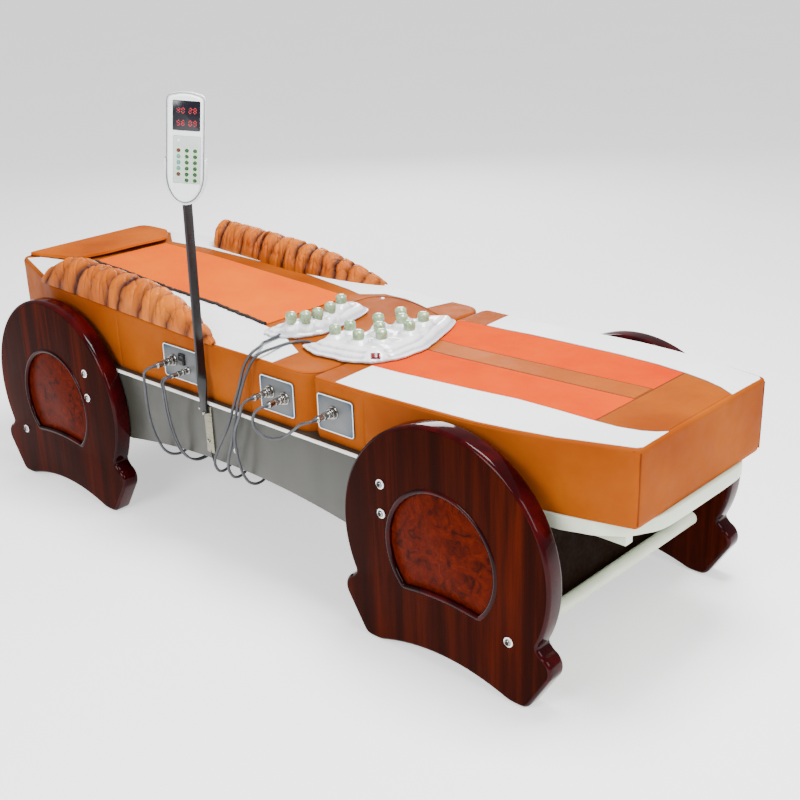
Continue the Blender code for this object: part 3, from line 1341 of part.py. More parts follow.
def large_projector_switch(case, lift):
    """A red rocker let into the sloping edge of the large projector's case."""
    x = LARGE_X + LARGE_WIDTH * LARGE_SWITCH_SHARES[0]
    y = LARGE_Y + LARGE_LENGTH * LARGE_SWITCH_SHARES[1]
    z = TOP_MIDDLE + SEAT_GAP + CASE_HEIGHT * LARGE_SWITCH_SHARES[2]
    slope = Matrix.Rotation(SWITCH_SLOPE, 4, "X")
    place = Matrix.Translation((x, y, z)) @ Matrix.Rotation(FACING, 4, "Z") @ slope
    half_l, half_w = SWITCH_LENGTH / 2, SWITCH_WIDTH / 2
    low = (-half_l - SLIDE_GAP, -half_w - SLIDE_GAP, -SWITCH_DEPTH / 2)
    well = box(low, (half_l + SLIDE_GAP, half_w + SLIDE_GAP, SWITCH_DEPTH * 3), place)
    cut(case, well)
    tilted = place @ Matrix.Rotation(-ROCKER_TILT, 4, "Y")
    cap_low = (-half_l + SLIDE_GAP, -half_w + SLIDE_GAP, -SWITCH_DEPTH / 4)
    cap = box(cap_low, (half_l - SLIDE_GAP, half_w - SLIDE_GAP, SWITCH_PROUD), tilted)
    pivot = axis_empty("large_switch_axis", (x, y, z), lift)
    as_part(cap, "large_projector_switch", "red_plastic", pivot)


# Roller drive


def guide_frame():
    """Two round rods held by end plates that stand on the pan."""
    plates = []
    for x in (GUIDE_HEAD_X, GUIDE_FOOT_X):
        low = (x, -GUIDE_PLATE_HALF, PAN_TOP + SEAT_GAP)
        plates.append(box(low, (x + GUIDE_PLATE, GUIDE_PLATE_HALF, GUIDE_PLATE_TOP)))
    hole_low = (GUIDE_HEAD_X - OVERRUN, 0.0, GUIDE_ROD_Z)
    hole_high = (GUIDE_FOOT_X + GUIDE_PLATE + OVERRUN, 0.0, GUIDE_ROD_Z)
    body, other = plates
    rods = []
    for side in (-1, 1):
        start = (GUIDE_HEAD_X + GUIDE_PLATE / 2, side * GUIDE_ROD_Y, GUIDE_ROD_Z)
        end = (GUIDE_FOOT_X + GUIDE_PLATE / 2, side * GUIDE_ROD_Y, GUIDE_ROD_Z)
        rods.append(rod(GUIDE_ROD_RADIUS, start, end))
    weld(body, other, *rods)
    cut(body, rod(SCREW_JOURNAL_RADIUS + SLIDE_GAP, hole_low, hole_high))
    as_part(body, "guide_frame", "steel")


def lead_screw(pivot):
    """The screw that drives the carriage, with a journal at each end."""
    shoulder = GUIDE_PLATE + SLIDE_GAP
    length = GUIDE_FOOT_X - GUIDE_HEAD_X - GUIDE_PLATE - 2 * SLIDE_GAP
    profile = (
        (0.0, length + shoulder), (SCREW_JOURNAL_RADIUS, length + shoulder), (SCREW_JOURNAL_RADIUS, length),
        (SCREW_RADIUS, length), (SCREW_RADIUS, 0.0), (SCREW_JOURNAL_RADIUS, 0.0),
        (SCREW_JOURNAL_RADIUS, -GUIDE_PLATE), (0.0, -GUIDE_PLATE),
    )
    start = Matrix.Translation((GUIDE_HEAD_X + GUIDE_PLATE + SLIDE_GAP, 0.0, GUIDE_ROD_Z))
    body = turned(profile, 16, start @ Matrix.Rotation(math.radians(90), 4, "Y"))
    as_part(body, "lead_screw", "steel", pivot)


def carriage(travel):
    half = CARRIAGE_LENGTH / 2
    low = (CARRIAGE_X - half, -CARRIAGE_HALF_WIDTH, CARRIAGE_BOTTOM)
    body = box(low, (CARRIAGE_X + half, CARRIAGE_HALF_WIDTH, CARRIAGE_TOP))
    reach = half + OVERRUN
    bores = []
    guides = ((-GUIDE_ROD_Y, GUIDE_ROD_RADIUS), (GUIDE_ROD_Y, GUIDE_ROD_RADIUS), (0.0, SCREW_RADIUS))
    for y, radius in guides:
        start = (CARRIAGE_X - reach, y, GUIDE_ROD_Z)
        bores.append(rod(radius + SLIDE_GAP, start, (CARRIAGE_X + reach, y, GUIDE_ROD_Z)))
    for x, y in lift_pin_spots():
        start = (x, y, CARRIAGE_BOTTOM - OVERRUN)
        bores.append(rod(LIFT_PIN_RADIUS + SLIDE_GAP, start, (x, y, CARRIAGE_TOP + OVERRUN)))
    cut(body, joined(bores))
    as_part(body, "carriage", "steel", travel)


def lift_pin_spots():
    return [(CARRIAGE_X + i * LIFT_PIN_X, j * LIFT_PIN_Y) for i in (-1, 1) for j in (-1, 1)]


def lift_yoke(lift):
    """The lifting frame: a base on four guide pins with two cheeks that hold the roller axles."""
    base_z = CARRIAGE_TOP + SEAT_GAP
    half = YOKE_LENGTH / 2
    low = (CARRIAGE_X - half, -YOKE_HALF_WIDTH, base_z)
    body = box(low, (CARRIAGE_X + half, YOKE_HALF_WIDTH, base_z + YOKE_BASE))
    cheek_half = YOKE_CHEEK_LENGTH / 2
    cheeks = []
    for side in (-1, 1):
        edges = sorted((side * YOKE_HALF_WIDTH, side * (YOKE_HALF_WIDTH - YOKE_CHEEK)))
        low = (CARRIAGE_X - cheek_half, edges[0], base_z + YOKE_BASE / 2)
        cheeks.append(box(low, (CARRIAGE_X + cheek_half, edges[1], YOKE_TOP)))
    pins = []
    for x, y in lift_pin_spots():
        pin_low = (x, y, base_z - LIFT_PIN_LENGTH)
        pins.append(rod(LIFT_PIN_RADIUS, pin_low, (x, y, base_z + YOKE_BASE / 2), 12))
    weld(body, *cheeks, joined(pins))
    holes = []
    for x in roller_xs():
        y = YOKE_HALF_WIDTH + OVERRUN
        holes.append(rod(AXLE_RADIUS + SLIDE_GAP, (x, -y, ROLLER_AXLE_Z), (x, y, ROLLER_AXLE_Z)))
    cut(body, joined(holes))
    as_part(body, "lift_yoke", "steel", lift)


def roller_xs():
    return (CARRIAGE_X - ROLLER_SPACING / 2, CARRIAGE_X + ROLLER_SPACING / 2)


def rollers(name, x, lift):
    """Two jade rollers fast on one axle, each waisted a little in the middle."""
    end = YOKE_HALF_WIDTH
    inner = ROLLER_Y - ROLLER_WIDTH / 2
    outer = ROLLER_Y + ROLLER_WIDTH / 2
    half = [
        (0.0, end), (AXLE_RADIUS, end), (AXLE_RADIUS, outer), (ROLLER_RADIUS - ROLLER_GROOVE, outer),
        (ROLLER_RADIUS, outer - ROLLER_WIDTH / 4), (ROLLER_RADIUS, inner + ROLLER_WIDTH / 4),
        (ROLLER_RADIUS - ROLLER_GROOVE, inner), (AXLE_RADIUS, inner),
    ]
    profile = half + [(radius, -height) for radius, height in reversed(half)]
    along_y = Matrix.Translation((x, 0.0, ROLLER_AXLE_Z)) @ Matrix.Rotation(math.radians(-90), 4, "X")
    pivot = axis_empty(name + "_axis", (x, 0.0, ROLLER_AXLE_Z), lift)
    as_part(turned(profile, 18, along_y), name, "jade", pivot)


def drive_motor():
    """The geared motor on the foot-side end plate; its lower side rests in the pan's space."""
    start_x = GUIDE_FOOT_X + GUIDE_PLATE + SLIDE_GAP
    shaft = SCREW_JOURNAL_RADIUS + SLIDE_GAP
    body = rod(MOTOR_RADIUS, (start_x, 0.0, GUIDE_ROD_Z), (start_x + MOTOR_LENGTH, 0.0, GUIDE_ROD_Z), 20)
    foot_low = (start_x, -MOTOR_RADIUS, PAN_TOP + SEAT_GAP)
    foot = box(foot_low, (start_x + MOTOR_LENGTH * 0.6, MOTOR_RADIUS, GUIDE_ROD_Z - MOTOR_RADIUS / 2))
    weld(body, foot)
    pocket = rod(shaft, (start_x - OVERRUN, 0.0, GUIDE_ROD_Z), (start_x + GUIDE_PLATE, 0.0, GUIDE_ROD_Z), 12)
    as_part(cut(body, pocket), "drive_motor", "black_plastic")


def control_box():
    low = (BOX_X - BOX_LENGTH / 2, -BOX_HALF_WIDTH, PAN_TOP + SEAT_GAP)
    high = (BOX_X + BOX_LENGTH / 2, BOX_HALF_WIDTH, PAN_TOP + SEAT_GAP + BOX_HEIGHT)
    as_part(round_edges(box(low, high), RAIL_WALL, 1), "control_box", "black_plastic")


# Cords


def smooth_route(points, spacing):
    """Points at an even spacing on a smooth curve through the route's own points."""
    route = [Vector(p) for p in points]
    route = [route[0] * 2 - route[1], *route, route[-1] * 2 - route[-2]]
    fine = []
    for a, b, c, d in zip(route, route[1:], route[2:], route[3:]):
        for i in range(12):
            t = i / 12
            fine.append((b * 2 + (c - a) * t + (a * 2 - b * 5 + c * 4 - d) * t**2
                         + (b * 3 - a - c * 3 + d) * t**3) / 2)
    fine.append(route[-2])
    total = sum((q - p).length for p, q in zip(fine, fine[1:]))
    count = max(2, round(total / spacing))
    step = total / count
    even = [fine[0]]
    walked = 0.0
    for p, q in zip(fine, fine[1:]):
        length = (q - p).length
        while len(even) < count and walked + length >= step * len(even):
            even.append(p.lerp(q, (step * len(even) - walked) / length))
        walked += length
    even.append(fine[-1])
    return even


def cord(name, route, radius=CORD_RADIUS):
    curve = bpy.data.curves.new(name, "CURVE")
    curve.dimensions = "3D"
    curve.bevel_depth = radius
    curve.bevel_resolution = 2
    curve.use_fill_caps = True
    points = smooth_route(route, CORD_SPACING)
    for end, after, place in ((route[0], route[1], 1), (route[-1], route[-2], len(points))):
        along = (Vector(after) - Vector(end)).normalized()
        points.insert(place, Vector(end) + along * CORD_RADIUS * 2)
    spline = curve.splines.new("POLY")
    spline.points.add(len(points) - 1)
    for point, place in zip(spline.points, points):
        point.co = (*place, 1.0)
    obj = bpy.data.objects.new(name, curve)
    PARTS.objects.link(obj)
    as_part(obj, name, "grey_cable")


def build_frame():
    for end, x, inward in (("head", LEG_HEAD_X, 1), ("foot", LEG_FOOT_X, -1)):
        for place_name, side in (("near", -1), ("far", 1)):
            leg(end + "_" + place_name, x, side, inward)
    cross_tube("cross_tube_head", TUBE_HEAD_X)
    cross_tube("cross_tube_foot", TUBE_FOOT_X)
    rail("rail_near", -1)
    rail("rail_far", 1)
    end_board("end_board_head", BOARD_HEAD_OUTER_X, BOARD_HEAD_OUTER_X + END_BOARD_THICKNESS)
    end_board("end_board_foot", BOARD_FOOT_OUTER_X - END_BOARD_THICKNESS, BOARD_FOOT_OUTER_X)
    base_pan()


def build_bed():
    main_section()
    head_flap()
    near = bolster(-1, BOLSTER_HEAD_X, BOLSTER_LENGTH)
    as_part(near, "bolster_near", "padded_leather")
    far = bolster(1, BOLSTER_FAR_HEAD_X, BOLSTER_FAR_LENGTH, BOLSTER_FAR_SHARE)
    as_part(far, "bolster_far", "padded_leather")
    slide = axis_empty("foot_slide_axis", (FOOT_START_X, 0.0, TRAY_BOTTOM))
    foot_section(slide)
    foot_tray(slide)
    return slide


def build_sockets(slide):
    big, small = SOCKET_FLANGE_RADIUS, SOCKET_FLANGE_SMALL
    left = ((SOCKET_LEFT_X, SOCKET_LEFT_Z, big), (SOCKET_TWIN_X, SOCKET_TWIN_Z, small))
    middle = (
        (SOCKET_LINK_X, SOCKET_LINK_Z, big), (SOCKET_JUMPER_MAIN_X, SOCKET_JUMPER_MAIN_Z, big),
    )
    right = ((SOCKET_JUMPER_FOOT_X, SOCKET_JUMPER_FOOT_Z, big),)
    plate("plate_left", PLATE_LEFT_X, PLATE_LEFT_WIDTH, left, bezel=rocker_bezel())
    plate("plate_middle", PLATE_MIDDLE_X, PLATE_MIDDLE_WIDTH, middle)
    plate("plate_right", PLATE_RIGHT_X, PLATE_RIGHT_WIDTH, right, slide)
    power_switch()
    plug("plug_left", SOCKET_LEFT_X, SOCKET_LEFT_Z, PLUG_RADIUS)
    plug("plug_twin", SOCKET_TWIN_X, SOCKET_TWIN_Z, PLUG_RADIUS_SMALL)
    plug("plug_link", SOCKET_LINK_X, SOCKET_LINK_Z, PLUG_RADIUS)
    plug("plug_jumper_main", SOCKET_JUMPER_MAIN_X, SOCKET_JUMPER_MAIN_Z, PLUG_RADIUS)
    plug("plug_jumper_foot", SOCKET_JUMPER_FOOT_X, SOCKET_JUMPER_FOOT_Z, PLUG_RADIUS, slide)


def build_control():
    pole()
    swivel = axis_empty("holder_swivel_axis", pole_point(POLE_TOP_Z))
    holder(swivel)
    handset(swivel)


def build_projectors():
    hand_place = (HAND_X, HAND_Y, HAND_WIDTH, HAND_LENGTH)
    large_place = (LARGE_X, LARGE_Y, LARGE_WIDTH, LARGE_LENGTH)
    hand_lift = axis_empty("hand_projector_axis", (HAND_X, HAND_Y, TOP_MIDDLE))
    large_lift = axis_empty("large_projector_axis", (LARGE_X, LARGE_Y, TOP_MIDDLE))
    projector("hand_projector", HAND_OUTLINE_SHARES, HAND_STONE_SHARES, hand_place,
              HAND_LEAD_ROUTE[-1], HAND_RELIEF_AIM, hand_lift)
    case = projector("large_projector", LARGE_OUTLINE_SHARES, LARGE_STONE_SHARES, large_place,
                     LARGE_LEAD_ROUTE[-1], LARGE_RELIEF_AIM, large_lift)
    large_projector_switch(case, large_lift)


def build_drive():
    guide_frame()
    drive_motor()
    control_box()
    screw = axis_empty("lead_screw_axis", (GUIDE_HEAD_X, 0.0, GUIDE_ROD_Z))
    lead_screw(screw)
    travel = axis_empty("carriage_axis", (CARRIAGE_X, 0.0, GUIDE_ROD_Z))
    carriage(travel)
    lift = axis_empty("yoke_lift_axis", (CARRIAGE_X, 0.0, CARRIAGE_TOP), travel)
    lift_yoke(lift)
    rear_x, front_x = roller_xs()
    rollers("rollers_rear", rear_x, lift)
    rollers("rollers_front", front_x, lift)


def build_cords():
    cord("lead_left", LEFT_LEAD_ROUTE)
    cord("lead_twin", TWIN_LEAD_ROUTE, TWIN_CORD_RADIUS)
    cord("hand_projector_lead", HAND_LEAD_ROUTE)
    cord("large_projector_lead", LARGE_LEAD_ROUTE)
    cord("link_lead", LINK_LEAD_ROUTE)
    cord("jumper_lead", JUMPER_LEAD_ROUTE)


build_frame()
SLIDE = build_bed()
build_sockets(SLIDE)
build_control()
build_projectors()
build_drive()
build_cords()
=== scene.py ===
import math

import bmesh
import bpy
from mathutils import Matrix, Vector, noise


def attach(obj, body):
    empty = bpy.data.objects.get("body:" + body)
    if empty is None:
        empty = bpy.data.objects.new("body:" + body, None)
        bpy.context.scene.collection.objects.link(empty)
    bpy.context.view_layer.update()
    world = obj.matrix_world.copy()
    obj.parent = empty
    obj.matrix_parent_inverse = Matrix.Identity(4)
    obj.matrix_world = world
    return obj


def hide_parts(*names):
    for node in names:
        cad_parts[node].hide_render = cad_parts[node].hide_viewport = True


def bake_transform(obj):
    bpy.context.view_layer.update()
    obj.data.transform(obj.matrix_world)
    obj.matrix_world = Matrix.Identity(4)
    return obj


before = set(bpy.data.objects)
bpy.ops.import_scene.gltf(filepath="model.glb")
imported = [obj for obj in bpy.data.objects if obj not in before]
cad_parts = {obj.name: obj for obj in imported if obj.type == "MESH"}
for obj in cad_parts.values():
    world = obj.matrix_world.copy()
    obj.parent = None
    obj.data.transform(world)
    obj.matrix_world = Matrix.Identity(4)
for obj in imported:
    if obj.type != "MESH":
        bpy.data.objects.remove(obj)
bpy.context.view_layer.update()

# Sizes, in metres, that the part's source also uses, and the pole's lean in degrees
HALF_WIDTH = 0.283
MAIN_HEAD_X, MAIN_SEAM_X = -0.978, 0.225
FOOT_SEAM_X, FOOT_END_X = 0.229, 0.973
TOP_LEVEL, TOP_AT_HEAD, TOP_AT_FOOT = 0.507, 0.545, 0.525
LEVEL_FROM_X, LEVEL_TO_X = -0.081, 0.363
UPHOLSTERY_BOTTOM = 0.3718
EDGE_ROUND = 0.007
PLATE_BACK_Y, PLATE_FACE_Y, PLUG_BACK_Y = -0.2833, -0.2863, -0.2966
PLATE_Z, PLATE_HEIGHT = 0.436, 0.08
RAIL_FACE_Y = -0.2998
POLE_LEAN = 1.25
PLATES = {"left": (-0.1935, 0.147, "frame"), "middle": (0.1205, 0.105, "frame"),
          "right": (0.2955, 0.103, "foot_section")}
CORD_THICKNESS = 0.0066


# Camera

def photo_camera():
    azimuth, elevation, roll = (math.radians(a) for a in (43.291, 21.716, -1.963))
    back = Vector((math.sin(azimuth) * math.cos(elevation), -math.cos(azimuth) * math.cos(elevation),
                   math.sin(elevation)))
    right = (-back).cross(Vector((0.0, 0.0, 1.0))).normalized()
    up = right.cross(-back)
    rolled_right = right * math.cos(roll) + up * math.sin(roll)
    rolled_up = up * math.cos(roll) - right * math.sin(roll)
    lens = bpy.data.cameras.new("photo_view")
    lens.lens = 56.66
    lens.sensor_width = 36.0
    camera = bpy.data.objects.new("photo_view", lens)
    bpy.context.scene.collection.objects.link(camera)
    place = Matrix((rolled_right, rolled_up, back)).transposed().to_4x4()
    camera.matrix_world = Matrix.Translation((2.009, -1.912, 1.405)) @ place
    bpy.context.scene.camera = camera


photo_camera()


# Material tools

def srgb(red, green, blue):
    """A colour as the photograph's numbers give it, made linear."""
    channels = []
    for value in (red / 255, green / 255, blue / 255):
        channels.append(value / 12.92 if value <= 0.04045 else ((value + 0.055) / 1.055) ** 2.4)
    return (*channels, 1.0)


def finish(name, roughness, metallic=0.0, **sockets):
    made = bpy.data.materials.new(name)
    made.use_nodes = True
    shader = made.node_tree.nodes["Principled BSDF"]
    shader.inputs["Roughness"].default_value = roughness
    shader.inputs["Metallic"].default_value = metallic
    for socket, value in sockets.items():
        shader.inputs[socket.replace("_", " ")].default_value = value
    return made


def add(material, kind, inputs=None, **settings):
    """One node with its settings; an input given as a socket is linked."""
    tree = material.node_tree
    made = tree.nodes.new("ShaderNode" + kind)
    for key, value in settings.items():
        setattr(made, key, value)
    for key, value in (inputs or {}).items():
        if isinstance(value, bpy.types.NodeSocket):
            tree.links.new(value, made.inputs[key])
        else:
            made.inputs[key].default_value = value
    return made


def place_of(material, scale=(1.0, 1.0, 1.0), turn=(0.0, 0.0, 0.0), shift=(0.0, 0.0, 0.0)):
    coordinates = add(material, "TexCoord").outputs["Object"]
    mapping = add(material, "Mapping", {"Vector": coordinates, "Scale": scale, "Location": shift,
                                        "Rotation": turn})
    return mapping.outputs["Vector"]


def clouds(material, where, scale, detail=3.0, roughness=0.5, distortion=0.0):
    made = add(material, "TexNoise", {"Vector": where, "Scale": scale, "Detail": detail,
                                      "Roughness": roughness, "Distortion": distortion})
    return made.outputs["Fac"]


def spread(material, value, low, high, to_low=0.0, to_high=1.0):
    made = add(material, "MapRange", {"Value": value, "From Min": low, "From Max": high,
                                      "To Min": to_low, "To Max": to_high})
    return made.outputs["Result"]


def mixed(material, share, first, second, blend="MIX"):
    made = add(material, "Mix", data_type="RGBA", blend_type=blend)
    tree = material.node_tree
    for socket, value in ((made.inputs[0], share), (made.inputs[6], first), (made.inputs[7], second)):
        if isinstance(value, bpy.types.NodeSocket):
            tree.links.new(value, socket)
        else:
            socket.default_value = value
    return made.outputs[2]


def sums(material, operation, first, second=0.0, third=0.0):
    return add(material, "Math", {0: first, 1: second, 2: third}, operation=operation).outputs[0]


def banded(material, value, stops):
    made = add(material, "ValToRGB", {"Fac": value})
    ramp = made.color_ramp
    while len(ramp.elements) < len(stops):
        ramp.elements.new(0.5)
    for element, (place, colour) in zip(ramp.elements, stops):
        element.position = place
        element.color = colour
    return made.outputs["Color"]


def wear(material, colour=None, roughness=None, height=None, strength=0.3, distance=0.0004):
    """Links what was built to the shader: colour, roughness and a bump."""
    tree = material.node_tree
    shader = tree.nodes["Principled BSDF"]
    if colour is not None:
        tree.links.new(colour, shader.inputs["Base Color"])
    if roughness is not None:
        tree.links.new(roughness, shader.inputs["Roughness"])
    if height is not None:
        bump = add(material, "Bump", {"Height": height, "Strength": strength, "Distance": distance})
        tree.links.new(bump.outputs["Normal"], shader.inputs["Normal"])
    return material


# Finishes

def two_tone(material, value, low, high, light, dark):
    return mixed(material, spread(material, value, low, high), srgb(*dark), srgb(*light))


def shade_by_mark(material, mark, colour, *reach):
    """Painted shade: a darker colour mixed in where the mesh's own marks are strong."""
    tone = material.node_tree.nodes["Principled BSDF"].inputs["Base Color"].links[0].from_socket
    share = spread(material, add(material, "Attribute", attribute_name=mark).outputs["Fac"], *reach)
    return wear(material, mixed(material, share, tone, srgb(*colour)))


def leather(name, light, dark, roughness=0.42, grain=520.0, depth=0.00035):
    made = finish(name, roughness, Specular_IOR_Level=0.03)
    where = place_of(made)
    tone = two_tone(made, clouds(made, where, 5.0, 4.0), 0.35, 0.65, light, dark)
    fine = spread(made, clouds(made, where, 90.0, 3.0), 0.3, 0.7, 0.0, 0.22)
    tone = mixed(made, fine, tone, srgb(*dark))
    cells = add(made, "TexVoronoi", {"Vector": where, "Scale": grain}, feature="F1").outputs["Distance"]
    height = sums(made, "MULTIPLY_ADD", clouds(made, where, grain * 0.4, 4.0), 0.8, cells)
    rough = spread(made, clouds(made, where, 30.0, 3.0), 0.3, 0.7, roughness - 0.05, roughness + 0.09)
    return wear(made, tone, rough, height, 0.28, depth)


def gathered_leather(name, light, dark, crease_shade):
    """The bolsters' leather, with painted shade where the folds run deep."""
    made = leather(name, light, dark, 0.44, 420.0)
    made.node_tree.nodes["Principled BSDF"].inputs["Specular IOR Level"].default_value = 0.2
    return shade_by_mark(made, "crease_shade", crease_shade, 0.05, 0.95)


def cloth(name, light, dark, thread=230.0, nap=0.35):
    """A brushed cloth: a fine plain weave under a soft uneven nap."""
    made = finish(name, 0.95, Specular_IOR_Level=0.0)
    where = place_of(made)
    warp, weft = (add(made, "TexWave", {"Vector": where, "Scale": thread, "Distortion": 0.6, "Detail": 1.0},
                      bands_direction=axis).outputs["Fac"] for axis in "XY")
    weave = sums(made, "MAXIMUM", warp, weft)
    tone = two_tone(made, clouds(made, where, 7.0, 5.0, 0.6), 0.32, 0.68, light, dark)
    shade = spread(made, weave, 0.3, 1.0, 0.0, nap)
    tone = mixed(made, sums(made, "SUBTRACT", nap, shade), tone, srgb(*dark))
    height = sums(made, "MULTIPLY_ADD", clouds(made, where, 60.0, 5.0), 1.6, weave)
    return wear(made, tone, None, height, 0.35, 0.0005)


def striped_wood():
    """Dark veneer with an upright grain and redder streaks, under a thin satin lacquer."""
    made = finish("dark_veneer", 0.36, Specular_IOR_Level=0.015)
    where = place_of(made, (20.0, 20.0, 0.9))
    streaks = clouds(made, where, 1.5, 6.0, 0.6, 0.3)
    pores = clouds(made, place_of(made, (230.0, 230.0, 6.0)), 1.6, 3.0)
    value = sums(made, "MULTIPLY_ADD", pores, 0.16, streaks)
    face = banded(made, value, ((0.4, srgb(26, 4, 1)), (0.54, srgb(39, 6, 1)),
                                (0.64, srgb(54, 12, 2)), (0.78, srgb(74, 18, 2))))
    wide = spread(made, clouds(made, place_of(made, (3.0, 3.0, 0.4)), 1.4, 2.0), 0.35, 0.65, 0.0, 0.5)
    tone = mixed(made, wide, face, srgb(30, 5, 1))
    return wear(made, tone, spread(made, value, 0.4, 0.9, 0.34, 0.46), value, 0.06, 0.0003)


def cherry_lacquer():
    """The rounded edges: cherry-red stain under thick gloss lacquer."""
    made = finish("cherry_edge", 0.07, Specular_IOR_Level=0.1)
    drift = clouds(made, place_of(made, (6.0, 6.0, 3.0)), 3.0, 4.0)
    tone = banded(made, drift, ((0.36, srgb(23, 1, 2)), (0.52, srgb(37, 2, 4)), (0.66, srgb(53, 4, 5))))
    return wear(made, tone, None, clouds(made, place_of(made), 9.0, 2.0), 0.05, 0.002)


def burl_wood():
    """Orange-brown burl: warped figure, dark drifts and scattered pin knots."""
    made = finish("burl_veneer", 0.32, Specular_IOR_Level=0.02)
    where = place_of(made)
    warp = add(made, "TexNoise", {"Vector": where, "Scale": 9.0, "Detail": 3.0}).outputs["Color"]
    bent = add(made, "VectorMath", {0: where, 1: warp}, operation="ADD")
    bent = add(made, "VectorMath", {0: bent.outputs[0], "Scale": 0.5}, operation="SCALE").outputs[0]
    figure = clouds(made, bent, 44.0, 5.0, 0.6, 0.25)
    tone = banded(made, figure, ((0.3, srgb(61, 11, 1)), (0.46, srgb(72, 15, 2)),
                                 (0.6, srgb(83, 20, 2)), (0.76, srgb(94, 26, 3))))
    spots = add(made, "TexVoronoi", {"Vector": bent, "Scale": 120.0}, feature="F1").outputs["Distance"]
    drifts = spread(made, clouds(made, bent, 22.0, 3.0, 0.55), 0.5, 0.68, 0.0, 0.85)
    knots = sums(made, "MULTIPLY", spread(made, spots, 0.05, 0.24, 0.9, 0.0),
                 spread(made, drifts, 0.0, 0.4, 0.25, 1.0))
    tone = mixed(made, drifts, tone, srgb(32, 5, 2))
    tone = mixed(made, knots, tone, srgb(19, 3, 1))
    return wear(made, tone, None, figure, 0.05, 0.0002)


def painted(name, light, dark, roughness, stretch=(1.0, 1.0, 1.0), scale=9.0, metallic=0.0, shine=0.4):
    """Sprayed or powder paint with a slow drift of tone and a faint orange-peel skin."""
    made = finish(name, roughness, metallic, Specular_IOR_Level=shine)
    tone = two_tone(made, clouds(made, place_of(made, stretch), scale, 4.0), 0.32, 0.68, light, dark)
    where = place_of(made)
    peel = clouds(made, where, 420.0, 2.0)
    rough = spread(made, clouds(made, where, 26.0, 3.0), 0.3, 0.7, roughness * 0.88, roughness * 1.15)
    return wear(made, tone, rough, peel, 0.06, 0.0002)


def worn_metal(name, light, dark, roughness, stretch=(1.0, 1.0, 1.0), scale=40.0):
    made = finish(name, roughness, 1.0)
    lines = clouds(made, place_of(made, stretch), scale, 5.0, 0.6)
    tone = two_tone(made, lines, 0.3, 0.7, light, dark)
    rough = spread(made, lines, 0.3, 0.7, roughness * 0.8, roughness * 1.3)
    return wear(made, tone, rough, lines, 0.05, 0.0002)


def socket_panel(name, centre_x, width):
    """Printed metal plate: pale grey in the middle, turning blue towards its edges and corners."""
    made = finish(name, 0.36, 0.35)
    coordinates = add(made, "TexCoord").outputs["Object"]
    parts = add(made, "SeparateXYZ", {0: coordinates})
    across, up = (
        sums(made, "ABSOLUTE", sums(made, "DIVIDE", sums(made, "SUBTRACT", parts.outputs[axis], centre), half))
        for axis, centre, half in (("X", centre_x, width / 2), ("Z", PLATE_Z, PLATE_HEIGHT / 2)))
    reach = sums(made, "ADD", sums(made, "POWER", across, 3.0), sums(made, "POWER", up, 3.0))
    cloud = clouds(made, coordinates, 38.0, 3.0)
    value = sums(made, "MULTIPLY_ADD", cloud, 0.4, sums(made, "MULTIPLY", reach, 0.62))
    tone = banded(made, value, ((0.3, srgb(95, 97, 98)), (0.62, srgb(84, 89, 94)),
                                (0.85, srgb(56, 75, 91)), (1.0, srgb(34, 59, 80))))
    return wear(made, tone, None, cloud, 0.05, 0.0002)


def jade_stone():
    made = finish("jade_stone", 0.14, Subsurface_Weight=0.15, Subsurface_Scale=0.004, Coat_Weight=0.5)
    where = place_of(made)
    veins = clouds(made, where, 75.0, 5.0, 0.6, 1.2)
    tone = banded(made, veins, ((0.32, srgb(104, 130, 94)), (0.5, srgb(132, 156, 118)),
                                (0.62, srgb(152, 174, 136)), (0.75, srgb(182, 196, 164))))
    return wear(made, tone, None, veins, 0.04, 0.0002)


def speckled(name, light, dark, roughness, scale=260.0, depth=0.12, **sockets):
    """Moulded plastic or rubber with a fine spark-eroded texture."""
    made = finish(name, roughness, **sockets)
    where = place_of(made)
    tone = two_tone(made, clouds(made, where, 12.0, 3.0), 0.3, 0.7, light, dark)
    rough = spread(made, clouds(made, where, 45.0, 2.0), 0.3, 0.7, roughness * 0.85, roughness * 1.2)
    return wear(made, tone, rough, clouds(made, where, scale, 2.0), depth, 0.0002)


def lit(name, colour, strength):
    """A lit segment or lamp with a slightly uneven face."""
    made = finish(name, 0.3)
    shader = made.node_tree.nodes["Principled BSDF"]
    glow = clouds(made, place_of(made), 400.0, 2.0)
    tone = mixed(made, spread(made, glow, 0.3, 0.7, 0.0, 0.3), srgb(*colour), srgb(*(c * 0.6 for c in colour)))
    made.node_tree.links.new(tone, shader.inputs["Emission Color"])
    shader.inputs["Emission Strength"].default_value = strength
    return wear(made, tone)


def moulded_gloss(name, light, dark, hollow):
    """Glossy white moulding, with painted grey shade in its hollows."""
    made = speckled(name, light, dark, 0.14, 60.0, 0.03, Coat_Weight=0.4)
    return shade_by_mark(made, "valley_shade", hollow, 0.0, 1.0, 0.0, 0.8)


